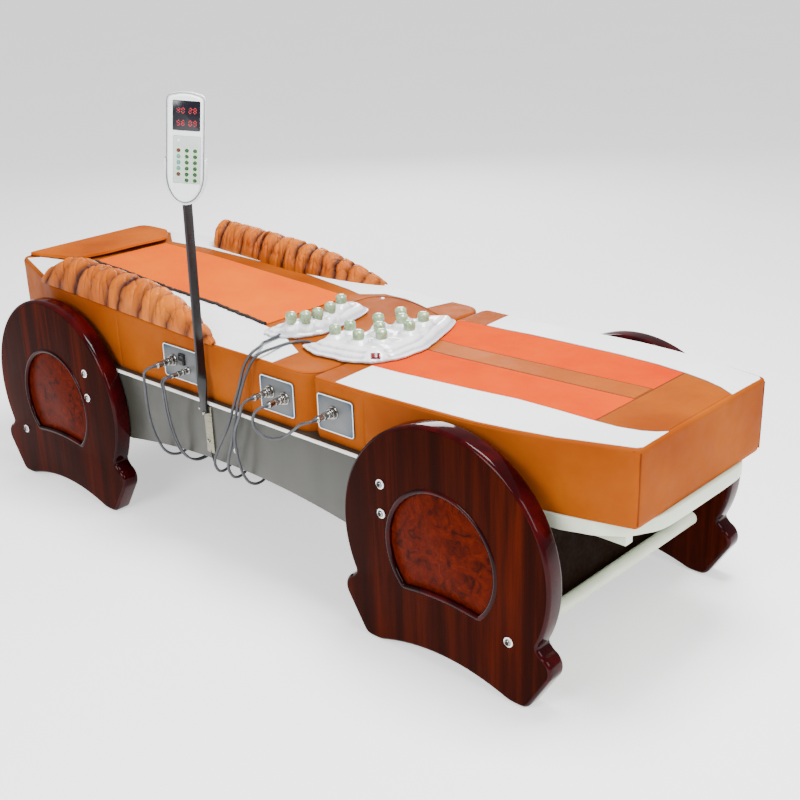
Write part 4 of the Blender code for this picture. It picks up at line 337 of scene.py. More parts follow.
FINISHES = {
    "dark_wood": striped_wood(),
    "cherry_edge": cherry_lacquer(),
    "burl": burl_wood(),
    "grey_metal": painted("rail_paint", (57, 57, 51), (49, 49, 43), 0.34, (7.0, 1.0, 0.5), 2.2, 0.1),
    "bottom_board": painted("dark_board", (25, 11, 4), (10, 4, 1), 0.8, (1.0, 26.0, 26.0), 4.0, 0.0, 0.04),
    "jade": jade_stone(),
    # Painted shade: the last colour darkens the bolster leather deep in its folds.
    "bolster_leather": gathered_leather("bolster_leather", (198, 107, 21), (167, 81, 12), (58, 18, 6)),
    # Painted shade: the last colour greys the white moulding in its hollows.
    "gloss_white": moulded_gloss("gloss_white", (243, 243, 245), (231, 232, 236), (168, 168, 178)),
}
for make, looks in (
        (leather, (
            ("tan_leather", (149, 74, 12), (128, 56, 5), 0.55),
            ("side_leather", (153, 77, 16), (133, 60, 8), 0.5),
            ("flap_leather", (179, 87, 3), (148, 64, 2), 0.5),
            # Painted shade: dark red for the gap under the head flap's lifted free edge.
            ("flap_lining", (96, 16, 6), (60, 8, 4), 0.7),
            ("strip_leather", (158, 79, 21), (136, 62, 13), 0.5),
            ("white_leather", (243, 244, 244), (231, 233, 234), 0.42, 560.0, 0.0002),
            ("piping_leather", (128, 56, 18), (96, 38, 12), 0.5, 700.0))),
        (speckled, (
            ("seam_thread", (96, 42, 18), (64, 26, 12), 0.8),
            ("white_seam", (176, 182, 188), (150, 156, 164), 0.7),
            ("zip_tape", (26, 16, 14), (12, 8, 8), 0.8),
            ("black_plastic", (24, 24, 28), (10, 10, 13), 0.3),
            ("white_plastic", (240, 243, 242), (228, 232, 231), 0.32),
            ("parting_grey", (150, 154, 158), (128, 132, 136), 0.5),
            # Painted shade: a greyer copy of white_plastic for the handset's back shell and its holder clip.
            ("case_white", (218, 221, 220), (205, 209, 208), 0.32),
            ("display_glass", (10, 10, 24), (4, 4, 12), 0.16, 90.0, 0.02),
            ("dark_segment", (60, 50, 66), (44, 38, 52), 0.5),
            ("keypad_grey", (190, 200, 196), (172, 184, 180), 0.45),
            ("key_surround", (186, 222, 170), (168, 208, 152), 0.5),
            ("key_green", (16, 74, 34), (8, 52, 22), 0.45),
            ("key_blue", (86, 138, 160), (66, 112, 136), 0.45),
            ("key_red", (96, 8, 20), (66, 4, 12), 0.45),
            ("cable", (60, 62, 67), (44, 46, 51), 0.5, 300.0),
            ("relief_rubber", (50, 54, 60), (36, 39, 45), 0.5, 300.0),
            ("red_plastic", (122, 8, 28), (86, 4, 18), 0.24),
            ("plate_border", (240, 243, 244), (226, 231, 234), 0.4))),
        (cloth, (
            ("main_cloth", (218, 99, 0), (213, 80, 0)),
            ("foot_cloth", (204, 71, 0), (191, 52, 0)))),
        (painted, (
            # Painted highlight: near-white paint for the sloping faces of the rails' rolled top edge.
            ("rolled_edge_highlight", (250, 250, 246), (232, 233, 228), 0.3, (7.0, 1.0, 0.5), 2.2),
            ("ivory_enamel", (214, 222, 200), (198, 207, 184), 0.34),
            ("pole_enamel", (10, 10, 14), (4, 4, 7), 0.3))),
        (worn_metal, (
            ("bracket_steel", (150, 148, 132), (104, 100, 84), 0.34, (1.0, 1.0, 8.0)),
            ("chrome", (176, 173, 168), (112, 109, 104), 0.17),
            ("dark_metal", (50, 48, 48), (26, 24, 25), 0.35),
            ("steel", (190, 192, 194), (150, 152, 156), 0.3, (1.0, 12.0, 12.0)))),
        (lit, (
            ("red_digit", (190, 20, 40), 0.5),
            ("lamp", (230, 238, 224), 0.2)))):
    for name, *look in looks:
        FINISHES[name] = make(name, *look)
for side, (x, width, _) in PLATES.items():
    FINISHES["plate_" + side] = socket_panel("panel_" + side, x, width)


# Mesh tools

def linked(name, data):
    """An object of this data, in the scene."""
    made = bpy.data.objects.new(name, data)
    bpy.context.scene.collection.objects.link(made)
    return made


def moved(x, y, z):
    return Matrix.Translation((x, y, z))


def spun(degrees, axis):
    return Matrix.Rotation(math.radians(degrees), 4, axis)


def placed(work, place):
    bmesh.ops.transform(work, matrix=place, verts=work.verts)
    return work


def mm(*points):
    """Points written in millimetres, given in metres."""
    return [tuple(round(value / 1000, 7) for value in point) for point in points]


def verts_in(grown):
    return [item for item in grown["geom"] if isinstance(item, bmesh.types.BMVert)]


def raised(work, faces, height):
    """Grows the faces straight up and gives the upper vertices."""
    top = verts_in(bmesh.ops.extrude_face_region(work, geom=faces))
    bmesh.ops.translate(work, verts=top, vec=(0.0, 0.0, height))
    return top


def bevelled(work, edges, offset, segments, clamped=True):
    bmesh.ops.bevel(work, geom=edges, offset=offset, segments=segments, affect="EDGES",
                    profile=0.5, material=-1, clamp_overlap=clamped)


def face_up(work):
    if sum(face.normal.z for face in work.faces) < 0:
        bmesh.ops.reverse_faces(work, faces=work.faces)


def split_large_faces(work):
    bmesh.ops.triangulate(work, faces=[face for face in work.faces if len(face.verts) > 4])


def closed_up(work):
    """Fills the open rim of a shell."""
    bmesh.ops.holes_fill(work, edges=[edge for edge in work.edges if edge.is_boundary], sides=0)
    split_large_faces(work)
    return outward(work)


def keep(name, work, body, finishes, nodes=(), smooth=40.0):
    """Makes a bmesh a piece in its place: merged, smoothed, painted and riding on its body."""
    mesh = bpy.data.meshes.new(name)
    work.normal_update()
    work.to_mesh(mesh)
    work.free()
    mesh.shade_smooth()
    mesh.set_sharp_from_angle(angle=math.radians(smooth))
    for key in ([finishes] if isinstance(finishes, str) else finishes):
        mesh.materials.append(FINISHES[key])
    made = linked(name, mesh)
    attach(made, body)
    if nodes:
        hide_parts(*nodes)
    return made


def outward(work):
    bmesh.ops.remove_doubles(work, verts=work.verts, dist=0.000002)
    bmesh.ops.recalc_face_normals(work, faces=work.faces)
    return work


def absorb(work, other):
    """Adds one bmesh's shapes to another's and frees it."""
    spare = bpy.data.meshes.new("spare")
    other.to_mesh(spare)
    other.free()
    work.from_mesh(spare)
    bpy.data.meshes.remove(spare)
    return work


def cuts(work, axis, places):
    """Cuts the whole shape square to one axis at each place."""
    direction = Vector((axis == 0, axis == 1, axis == 2))
    for place in places:
        bmesh.ops.bisect_plane(
            work, geom=work.verts[:] + work.edges[:] + work.faces[:], dist=0.00001,
            plane_co=direction * place, plane_no=direction,
        )


def steps(low, high, spacing):
    count = max(1, round((high - low) / spacing))
    return [low + (high - low) * i / count for i in range(1, count)]


def square_cuts(work, outline, spacing):
    """Cuts an outline's face both ways into cells of about the spacing."""
    for axis in (0, 1):
        places = [point[axis] for point in outline]
        cuts(work, axis, steps(min(places), max(places), spacing))


def face_of(work, outline, height=0.0):
    return work.faces.new([work.verts.new((*point, height)) for point in outline])


def prism(outline, depth, place=None, rounding=0.0, segments=2, both=False):
    """An outline drawn up by a depth, with its far rim, or both rims, rounded over."""
    work = bmesh.new()
    raised(work, [face_of(work, outline)], depth)
    bmesh.ops.recalc_face_normals(work, faces=work.faces)
    if rounding:
        bevelled(work, [e for e in work.edges if abs(e.verts[0].co.z - e.verts[1].co.z) < 1e-7
                        and (both or e.verts[0].co.z > depth / 2)], rounding, segments)
    return placed(work, place) if place is not None else work


def turned(profile, place, turns=28):
    """A lathe shape: pairs of radius and height, about the drawing's own Z."""
    work = bmesh.new()
    line = [work.verts.new((radius, 0.0, height)) for radius, height in profile]
    edges = [work.edges.new(pair) for pair in zip(line, line[1:])]
    bmesh.ops.spin(work, geom=line + edges, cent=(0.0, 0.0, 0.0), axis=(0.0, 0.0, 1.0),
                   angle=math.tau, steps=turns, use_merge=True)
    return placed(outward(work), place)


def turned_at(places, profile, turns):
    """The same lathe shape at each place, as one bmesh."""
    work = bmesh.new()
    for place in places:
        absorb(work, turned(profile, place, turns))
    return work


def box_between(low, high, place=None, rounding=0.0, segments=2):
    work = bmesh.new()
    bmesh.ops.create_cube(work, size=1.0)
    bmesh.ops.scale(work, vec=Vector(high) - Vector(low), verts=work.verts)
    bmesh.ops.translate(work, vec=(Vector(high) + Vector(low)) / 2, verts=work.verts)
    if rounding:
        bevelled(work, work.edges[:], rounding, segments)
    return placed(work, place) if place is not None else work


def arc(x, y, radius, start, stop, count):
    angles = [math.radians(start + (stop - start) * i / count) for i in range(count + 1)]
    return [(x + radius * math.cos(a), y + radius * math.sin(a)) for a in angles]


def rounded_rectangle(x, y, width, height, corner, count=4):
    w, h = width / 2 - corner, height / 2 - corner
    points = []
    for quarter, (across, up) in enumerate(((w, h), (-w, h), (-w, -h), (w, -h))):
        points += arc(x + across, y + up, corner, 90 * quarter, 90 * (quarter + 1), count)
    return points


def softened(points, cut, least=16.0):
    """The same closed outline with its sharp corners swept over."""
    made = []
    total = len(points)
    for i in range(total):
        a, b, c = (Vector(points[(i + k) % total]) for k in (-1, 0, 1))
        if (b - a).length < 1e-6 or (c - b).length < 1e-6:
            continue
        if math.degrees((b - a).angle(c - b)) < least:
            made.append(tuple(b))
            continue
        first = b + (a - b).normalized() * min(cut, 0.45 * (a - b).length)
        last = b + (c - b).normalized() * min(cut, 0.45 * (c - b).length)
        for k in range(5):
            t = k / 4
            made.append(tuple(first * (1 - t) ** 2 + b * 2 * t * (1 - t) + last * t**2))
    return made


def bar_curve(name, radius, resolution, capped=True):
    curve = bpy.data.curves.new(name, "CURVE")
    curve.dimensions = "3D"
    curve.bevel_depth = radius
    curve.bevel_resolution = resolution
    curve.use_fill_caps = capped
    return curve


def round_line(name, points, radius, closed=False, sides=8):
    """A round bar along a line of points, as a bmesh."""
    curve = bar_curve(name, radius, max(0, sides // 4 - 1), not closed)
    spline = curve.splines.new("POLY")
    spline.points.add(len(points) - 1)
    spline.use_cyclic_u = closed
    for point, place in zip(spline.points, points):
        point.co = (*place, 1.0)
    holder = linked(name, curve)
    graph = bpy.context.evaluated_depsgraph_get()
    mesh = bpy.data.meshes.new_from_object(holder.evaluated_get(graph))
    bpy.data.objects.remove(holder, do_unlink=True)
    bpy.data.curves.remove(curve)
    work = bmesh.new()
    work.from_mesh(mesh)
    bpy.data.meshes.remove(mesh)
    return outward(work)


def facing_near(x, y, z):
    """A drawing plane seen from the near side: X to the right, Y up, Z out of the plane."""
    return moved(x, y, z) @ spun(90, "X")


def eased(value, low, high):
    share = min(1.0, max(0.0, (value - low) / (high - low)))
    return share * share * (3 - 2 * share)


def ruffle(x, y, z, seed=0.0):
    return noise.noise(Vector((x + seed, y - seed, z)))


# Cords

LEFT_LEAD = (
    (-0.231, -0.3436, 0.44), (-0.231, -0.351, 0.44), (-0.2385, -0.359, 0.434),
    (-0.252, -0.356, 0.414), (-0.2655, -0.347, 0.386), (-0.279, -0.338, 0.348),
    (-0.287, -0.33, 0.304), (-0.285, -0.324, 0.264), (-0.275, -0.318, 0.233),
    (-0.266, -0.306, 0.2075), (-0.259, -0.286, 0.1965), (-0.255, -0.262, 0.1985),
    (-0.254, -0.247, 0.208), (-0.254, -0.243, 0.219), (-0.254, -0.243, 0.23),
)
TWIN_LEAD = (
    (-0.18, -0.3436, 0.4255), (-0.18, -0.351, 0.4255), (-0.18, -0.3585, 0.419),
    (-0.1845, -0.3545, 0.3985), (-0.1968, -0.345, 0.369), (-0.2065, -0.335, 0.33),
    (-0.209, -0.327, 0.29), (-0.203, -0.32, 0.254), (-0.195, -0.311, 0.226),
    (-0.188, -0.293, 0.206), (-0.183, -0.27, 0.201), (-0.18, -0.249, 0.208),
    (-0.18, -0.243, 0.219), (-0.18, -0.243, 0.23),
)
HAND_LEAD = (
    (-0.1, -0.243, 0.23), (-0.1, -0.243, 0.219), (-0.0985, -0.248, 0.208),
    (-0.096, -0.264, 0.199), (-0.09, -0.287, 0.201), (-0.082, -0.306, 0.218),
    (-0.072, -0.317, 0.242), (-0.0595, -0.32, 0.2656), (-0.0343, -0.321, 0.3051),
    (-0.0107, -0.32, 0.3443), (0.0085, -0.317, 0.3893), (0.0268, -0.31, 0.442),
    (0.0366, -0.301, 0.486), (0.041, -0.292, 0.504), (0.0428, -0.28, 0.515),
    (0.04, -0.265, 0.518), (0.031, -0.247, 0.517), (0.019, -0.231, 0.515),
    (0.01, -0.2188, 0.5138), (0.0065, -0.2055, 0.513),
)
LARGE_LEAD = (
    (-0.045, -0.243, 0.23), (-0.045, -0.243, 0.219), (-0.044, -0.248, 0.208),
    (-0.042, -0.265, 0.199), (-0.037, -0.289, 0.202), (-0.03, -0.308, 0.22),
    (-0.023, -0.319, 0.245), (-0.0151, -0.322, 0.267), (0.0014, -0.324, 0.3062),
    (0.014, -0.323, 0.3503), (0.0262, -0.32, 0.3942), (0.0393, -0.312, 0.4462),
    (0.052, -0.301, 0.488), (0.059, -0.292, 0.506), (0.0635, -0.279, 0.516),
    (0.064, -0.262, 0.518), (0.0595, -0.242, 0.516), (0.053, -0.219, 0.513),
    (0.048, -0.196, 0.5106), (0.052, -0.174, 0.5108), (0.0645, -0.1595, 0.512),
    (0.084, -0.154, 0.5135), (0.0985, -0.1545, 0.5135),
)
LINK_LEAD = (
    (0.1, -0.3436, 0.442), (0.1, -0.351, 0.442), (0.0945, -0.359, 0.434),
    (0.08, -0.355, 0.41), (0.0611, -0.348, 0.385), (0.041, -0.341, 0.357),
    (0.027, -0.334, 0.327), (0.022, -0.328, 0.295), (0.0215, -0.322, 0.262),
    (0.0215, -0.311, 0.229), (0.0215, -0.293, 0.206), (0.0215, -0.268, 0.199),
    (0.0215, -0.249, 0.207), (0.0215, -0.243, 0.219), (0.0215, -0.243, 0.23),
)
JUMPER_LEAD = (
    (0.145, -0.3436, 0.437), (0.145, -0.351, 0.437), (0.139, -0.359, 0.432),
    (0.1275, -0.36, 0.417), (0.1195, -0.356, 0.4), (0.12, -0.3515, 0.384),
    (0.133, -0.3465, 0.371), (0.158, -0.343, 0.3685), (0.185, -0.343, 0.376),
    (0.2085, -0.345, 0.389), (0.235, -0.35, 0.408), (0.26, -0.3565, 0.427),
    (0.279, -0.359, 0.4385), (0.291, -0.351, 0.442), (0.291, -0.3436, 0.442),
)


def centreline(made):
    """The finely spaced points of a cord's curve."""
    thick = made.data.bevel_depth
    made.data.bevel_depth = 0.0
    points = [tuple(vert.co) for vert in made.to_mesh().vertices]
    made.to_mesh_clear()
    made.data.bevel_depth = thick
    return points


def lead(name, route, node, thickness=CORD_THICKNESS, shift=0.0, across=None):
    """A free cord along its route, starting where it leaves the bed; two strands part a little midway.
    With across, it becomes a plain mesh where it lies; the body and points that across holds are not used."""
    curve = bar_curve(name, thickness / 2, 3)
    curve.resolution_u = 8
    spline = curve.splines.new("BEZIER")
    spline.bezier_points.add(len(route) - 1)
    for i, (point, place) in enumerate(zip(spline.bezier_points, route)):
        parted = shift * (1 + 0.6 * math.sin(math.pi * i / (len(route) - 1)))
        point.co = Vector(place) + Vector((parted, 0.0, 0.0))
        point.handle_left_type = point.handle_right_type = "AUTO"
    curve.materials.append(FINISHES["cable"])
    made = linked(name, curve)
    line = None
    if across:
        line = centreline(made)
        tube = bpy.data.meshes.new_from_object(made)
        bpy.data.objects.remove(made)
        bpy.data.curves.remove(curve)
        made = linked(name, tube)
    else:
        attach(made, "frame")
    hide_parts(node)
    if across:
        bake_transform(made)
    return made


# Plugs and sockets

# Name, place along and up, flange and ring radius, body, plate
CONNECTIONS = (
    ("left", -0.231, 0.44, 0.0145, 0.0085, "frame", "plate_left"),
    ("twin", -0.18, 0.4255, 0.009, 0.0068, "frame", "plate_left"),
    ("link", 0.1, 0.442, 0.0145, 0.0085, "frame", "plate_middle"),
    ("jumper_main", 0.145, 0.437, 0.0145, 0.0085, "frame", "plate_middle"),
    ("jumper_foot", 0.291, 0.442, 0.0145, 0.0085, "foot_section", "plate_right"),
)


def knurled(profile, place, ridges, depth, low, high, turns):
    """A lathe shape whose grip, between two heights, has straight ridges cut in it."""
    work = turned(profile, Matrix.Identity(4), turns)
    for vert in work.verts:
        radius = Vector((vert.co.x, vert.co.y)).length
        if low - 1e-6 <= vert.co.z <= high + 1e-6 and radius > 0.004:
            turn = math.atan2(vert.co.y, vert.co.x)
            share = 1 - depth / radius * (0.5 + 0.5 * math.cos(turn * ridges))
            vert.co.x *= share
            vert.co.y *= share
    return placed(work, place)


def plug_piece(name, x, z, radius, body):
    """Cable plug: coupling ring with ridges, a slimmer grip, a clamp nut and a boot for the lead."""
    grip = mm((0.8, 0), (0, 0.8), (0, 1.2), (0, 7), (0, 7.4), (0.8, 8.2), (2.2, 8.6), (2.2, 12), (0.9, 12.4),
              (0.6, 13), (0.6, 19), (1.2, 20), (2, 20.4), (2, 30), (1.2, 30.6), (1.2, 35.2), (2.6, 36.2))
    profile = [(0.0, 0.0)] + [(radius - inset, height) for inset, height in grip]
    profile += mm((5.2, 36.6), (5.2, 38), (4.6, 38.6), (0, 38.6))
    place, nodes = facing_near(x, PLUG_BACK_Y, z), ["plug_" + name]
    work = knurled(profile, place, 12, 0.0006, 0.0012, 0.007, 48)
    piece = keep(name + "_plug", work, body, "chrome", nodes, 30)
    tip = 0.0056 if name == "twin" else 0.0052
    rings = mm((0.8, 38), (0.4, 39), (0.8, 40), (1, 41), (0.6, 42), (1.2, 43), (1.4, 44), (1, 45), (1.8, 46.6))
    boot = [(0.0, 0.038)] + [(tip - inset, height) for inset, height in rings] + [(0.0, 0.0466)]
    keep(name + "_plug_boot", turned(boot, place, 20), body, "relief_rubber", nodes)
    return piece


def socket_piece(name, x, z, flange, body, node):
    """Chassis socket: round flange with two screws, a round nut and a ringed barrel."""
    f = flange
    b = flange - 0.003
    profile = (
        (0.0, -0.0004), (f - 0.0006, -0.0004), (f, 0.0002), (f, 0.0022), (f - 0.0009, 0.003),
        (b + 0.0006, 0.0031), (b + 0.0004, 0.0034), (b - 0.0008, 0.0036), (b - 0.0008, 0.005),
        (b, 0.0053), (b, 0.0066), (b - 0.0009, 0.007), (b - 0.0009, 0.0078), (b, 0.0081),
        (b, 0.0094), (b - 0.0008, 0.0099), (b - 0.0034, 0.0099), (b - 0.0036, 0.0086), (0.0, 0.0086),
    )
    place = facing_near(x, PLATE_FACE_Y, z)
    work = turned(profile, place, 36)
    head = mm((0, 4.2), (1, 4.1), (1.5, 3.6), (1.5, 2.6), (0, 2.6))
    off = (f - 0.0018) * 0.7
    absorb(work, turned_at([place @ moved(side * off, side * off, 0.0) for side in (-1, 1)], head, 10))
    return keep("socket_" + name, work, body, "chrome", [node], 30)


def plate_piece(side, x, width, body):
    """Printed metal plate with its raised white rounded border."""
    node = "plate_" + side
    place = facing_near(x, PLATE_BACK_Y, PLATE_Z)
    outline = rounded_rectangle(0.0, 0.0, width, PLATE_HEIGHT, 0.008, 6)
    work = prism(outline, 0.0026, place, 0.0005)
    keep(node + "_panel", work, body, node, [node])
    border = [(*point, 0.0) for point in rounded_rectangle(0.0, 0.0, width - 0.003, PLATE_HEIGHT - 0.003, 0.0068, 8)]
    work = round_line("border", border, 0.0012, True, 8)
    bmesh.ops.scale(work, vec=(1.0, 1.0, 0.55), verts=work.verts)
    keep(node + "_border", placed(work, place @ moved(0.0, 0.0, 0.0026)), body, "plate_border", [node])


def rocker(name, body, finish_key, cells, surface, low, place):
    """A rocker's curved face, drawn down to a flat back."""
    work = bmesh.new()
    bmesh.ops.create_grid(work, x_segments=cells[0], y_segments=cells[1], size=1.0)
    for vert in work.verts:
        vert.co = Vector(surface(vert.co.x, vert.co.y))
    for vert in verts_in(bmesh.ops.extrude_face_region(work, geom=work.faces[:])):
        vert.co.z = low
    keep(name, placed(outward(work), place), body, finish_key, [body], 50)


def bezel_and_rocker():
    """Black snap-in rocker switch: a rounded bezel, and a rocker with a hollow side and a ridge."""
    x, z = -0.196, 0.4495
    place = facing_near(x, PLATE_FACE_Y, z)
    work = prism(rounded_rectangle(0.0, 0.0, 0.019, 0.027, 0.0015, 3), 0.006, place, 0.0008)
    bezel = keep("rocker_bezel", work, "frame", "black_plastic", ["plate_left"])
    carve(bezel, box_between((-0.0075, -0.0115, 0.0008), (0.0075, 0.0115, 0.02), place))

    def surface(across, up):
        dip = 0.0018 * math.exp(-((up - 0.45) / 0.34) ** 2) - 0.0009 * math.exp(-((up + 0.15) / 0.08) ** 2)
        return across * 0.0069, up * 0.0103, 0.0024 - dip - 0.0006 * up

    rocker("power_rocker", "power_switch", "black_plastic", (6, 24), surface, -0.0024,
           facing_near(x, -0.29105, z) @ spun(6, "X"))


def carve(piece, cutter_work):
    """Cuts a shape out of a piece with a Boolean that is applied at once."""
    mesh = bpy.data.meshes.new("cutter")
    outward(cutter_work)
    cutter_work.to_mesh(mesh)
    cutter_work.free()
    cutter = linked("cutter", mesh)
    modifier = piece.modifiers.new("cut", "BOOLEAN")
    modifier.operation = "DIFFERENCE"
    modifier.object = cutter
    modifier.solver = "EXACT"
    graph = bpy.context.evaluated_depsgraph_get()
    result = bpy.data.meshes.new_from_object(piece.evaluated_get(graph))
    piece.modifiers.clear()
    old = piece.data
    piece.data = result
    result.name = piece.name
    bpy.data.meshes.remove(old)
    bpy.data.objects.remove(cutter, do_unlink=True)
    bpy.data.meshes.remove(mesh)
    return piece


def build_sockets():
    for side, (x, width, body) in PLATES.items():
        plate_piece(side, x, width, body)
    for name, x, z, flange, radius, body, node in CONNECTIONS:
        socket_piece(name, x, z, flange, body, node)
    bezel_and_rocker()


PLUGS = {name: plug_piece(name, x, z, radius, body) for name, x, z, _, radius, body, _ in CONNECTIONS}
lead("cord_left", LEFT_LEAD[::-1], "lead_left")
lead("cord_twin_a", TWIN_LEAD[::-1], "lead_twin", 0.005, -0.0026)
lead("cord_twin_b", TWIN_LEAD[::-1], "lead_twin", 0.005, 0.0026)
lead("cord_hand", HAND_LEAD, "hand_projector_lead",
     across=("hand_projector", (0.02, -0.289, 0.47), (0.02, -0.2188, 0.513)))
lead("cord_large", LARGE_LEAD, "large_projector_lead",
     across=("large_projector", (0.0605, -0.29, 0.47), (0.084, -0.154, 0.5135)))
lead("cord_link", LINK_LEAD[::-1], "link_lead")
lead("cord_jumper", JUMPER_LEAD, "jumper_lead",
     across=("foot_section", (0.15, -0.3515, 0.4), (0.279, -0.3515, 0.4)))
build_sockets()


# The upholstery's own surface

HEAD_HALF, HEAD_TAPER, HEAD_TAPER_LENGTH = 0.2, 0.3168, 0.262
MAIN_CORNER_X, MAIN_CORNER_Y, MAIN_CORNER = 0.175, 0.233, 0.05
FOOT_CORNER_X, FOOT_CORNER_Y, FOOT_CORNER = 0.243, 0.269, 0.014
TAPER_FROM_X, TAPER_LENGTH, TAPER_DRAW = 0.618, 0.355, 0.061
SECTIONS_MEET_X = (MAIN_SEAM_X + FOOT_SEAM_X) / 2


def level(x):
    """Height of the bed's top along its length, as in the solids."""
    if x < LEVEL_FROM_X:
        return TOP_LEVEL + (TOP_AT_HEAD - TOP_LEVEL) * (LEVEL_FROM_X - x) / (LEVEL_FROM_X - MAIN_HEAD_X)
    if x > LEVEL_TO_X:
        return TOP_LEVEL + (TOP_AT_FOOT - TOP_LEVEL) * (x - LEVEL_TO_X) / (FOOT_END_X - LEVEL_TO_X)
    return TOP_LEVEL


def main_half(x):
    """Half width of the main section at a station."""
    if x < MAIN_HEAD_X + HEAD_TAPER_LENGTH:
        return HEAD_HALF + HEAD_TAPER * max(0.0, x - MAIN_HEAD_X)
    if x > MAIN_CORNER_X:
        return MAIN_CORNER_Y + math.sqrt(max(0.0, MAIN_CORNER**2 - (min(x, MAIN_SEAM_X) - MAIN_CORNER_X) ** 2))
    return HALF_WIDTH


def foot_half(x):
    if x < FOOT_CORNER_X:
        return FOOT_CORNER_Y + math.sqrt(max(0.0, FOOT_CORNER**2 - (FOOT_CORNER_X - max(x, FOOT_SEAM_X)) ** 2))
    if x > TAPER_FROM_X:
        return HALF_WIDTH - TAPER_DRAW * min(1.0, (x - TAPER_FROM_X) / TAPER_LENGTH) ** 1.6
    return HALF_WIDTH


def half_at(x):
    return main_half(x) if x < SECTIONS_MEET_X else foot_half(x)


def edge_gap(x, y):
    """How far a point of the top lies inside the nearest edge of its own section."""
    if x < SECTIONS_MEET_X:
        ends = min(x - MAIN_HEAD_X, MAIN_SEAM_X - x)
    else:
        ends = min(x - FOOT_SEAM_X, FOOT_END_X - x)
    return min(ends, (half_at(x) - abs(y)) * 0.97)


def side_fall(y):
    """The slight fall of the top towards the long sides."""
    return 0.0022 * (abs(y) / HALF_WIDTH) ** 4


def skin(x, y):
    """Height of the leather's surface: the level, a slight fall to the long sides, and the rounded edge."""
    gap = edge_gap(x, y)
    z = level(x) - side_fall(y)
    if gap < EDGE_ROUND:
        inner = EDGE_ROUND - max(0.0, gap)
        z -= EDGE_ROUND - math.sqrt(max(0.0, EDGE_ROUND**2 - inner**2))
    return z


MAIN_PLAN = (
    mm((-978, -186), (-976, -192), (-971, -198), (-963, -204.8))
    + [(-0.716 - 0.01, -0.2798), (-0.716 + 0.015, HALF_WIDTH * -1)]
    + arc(MAIN_CORNER_X, -MAIN_CORNER_Y, MAIN_CORNER, 270, 360, 8)
)
MAIN_PLAN = MAIN_PLAN + [(x, -y) for x, y in reversed(MAIN_PLAN)]
FOOT_PLAN = arc(FOOT_CORNER_X, -FOOT_CORNER_Y, FOOT_CORNER, 180, 270, 4)
FOOT_PLAN += [(x, -foot_half(x)) for x in (TAPER_FROM_X + TAPER_LENGTH * i / 12 for i in range(12))]
FOOT_PLAN += mm((963.5, -224.5), (969, -220.5), (971.5, -215.5), (972.5, -209))
FOOT_PLAN = FOOT_PLAN + [(x, -y) for x, y in reversed(FOOT_PLAN)]


def upholstered(name, plan, seams, body, node):
    """A firm leather block: flat on its base, tucked at the skirt, rounded and slightly uneven above."""
    height = TOP_LEVEL - UPHOLSTERY_BOTTOM
    work = prism(plan, height, moved(0.0, 0.0, UPHOLSTERY_BOTTOM), EDGE_ROUND, 5)
    low_x, high_x = min(x for x, y in plan), max(x for x, y in plan)
    lines = steps(low_x, high_x, 0.024)
    for seam in seams:
        lines += [seam - 0.009, seam - 0.004, seam - 0.0018, seam, seam + 0.0018, seam + 0.004, seam + 0.009]
    cuts(work, 0, sorted(lines))
    cuts(work, 1, steps(-HALF_WIDTH, HALF_WIDTH, 0.024))
    cuts(work, 2, [UPHOLSTERY_BOTTOM + h for h in (0.004, 0.009, 0.014, 0.022, 0.04, 0.06, 0.08, 0.1, 0.115)])
    for vert in work.verts:
        x, y, z = vert.co
        share = min(1.0, max(0.0, (z - UPHOLSTERY_BOTTOM) / height))
        inward = Vector((0.0, -1.0 if y > 0 else 1.0, 0.0))
        if x > high_x - 0.004:
            inward = Vector((-1.0, 0.0, 0.0))
        elif x < low_x + 0.004:
            inward = Vector((1.0, 0.0, 0.0))
        gap = edge_gap(x, y)
        wall = gap < EDGE_ROUND + 0.001
        move = 0.0
        if share < 0.11 and wall:
            move += 0.003 * (1 - share / 0.11) ** 2
        if wall and share < 0.93:
            puffed = math.sin(math.pi * min(1.0, max(0.0, (share - 0.08) / 0.84)))
            move += 0.0012 * (1 - puffed) + 0.0007 * (ruffle(x * 9, y * 3, z * 14) + 0.5) * puffed
            near_seam = min([abs(x - seam) for seam in seams] + [1.0])
            move += 0.002 * math.exp(-(near_seam / 0.0026) ** 2) * (abs(y) > 0.2)
        vert.co += inward * max(0.0, move)
        vert.co.z += (level(x) - TOP_LEVEL) * share - side_fall(y) * share
        if share > 0.9 and gap > EDGE_ROUND:
            vert.co.z -= 0.0006 * (ruffle(x * 6, y * 6, 0.0, 3.0) + 1.0) * min(1.0, (gap - EDGE_ROUND) / 0.03)
    outward(work)
    piece = keep(name, work, body, "side_leather", [node], 50)
    return piece


def panel(name, outline, finish_key, body, thickness=0.0009, lift=0.0, nodes=(), spacing=0.018, ruffles=0.0):
    """A sheet cut to an outline and laid on the leather's surface, with its own thickness."""
    work = bmesh.new()
    points = []
    for x, y in outline:
        limit = half_at(x) - 0.0036
        points.append((x, max(-limit, min(limit, y))))
    base = face_of(work, points)
    area = base.calc_area()
    bmesh.ops.recalc_face_normals(work, faces=work.faces)
    face_up(work)
    square_cuts(work, points, spacing)
    cuts(work, 1, [side * (HALF_WIDTH - inset) for side in (-1, 1) for inset in (0.004, 0.0055, 0.0075, 0.012)])
    for vert in work.verts:
        x, y = vert.co.x, vert.co.y
        vert.co.z = skin(x, y) + lift + ruffles * (ruffle(x * 11, y * 7, 0.0, 5.0) + 0.4)
    raised(work, work.faces[:], thickness)
    outward(work)
    piece = keep(name, work, body, finish_key, nodes, 60)
    return piece


main_block = upholstered("main_upholstery", MAIN_PLAN, (-0.445, 0.028), "frame", "main_mattress")
carve(main_block, box_between((-0.78, -0.088, 0.36), (-0.11, 0.1, 0.56)))
foot_block = upholstered("foot_upholstery", FOOT_PLAN, (0.374,), "foot_section", "foot_mattress")

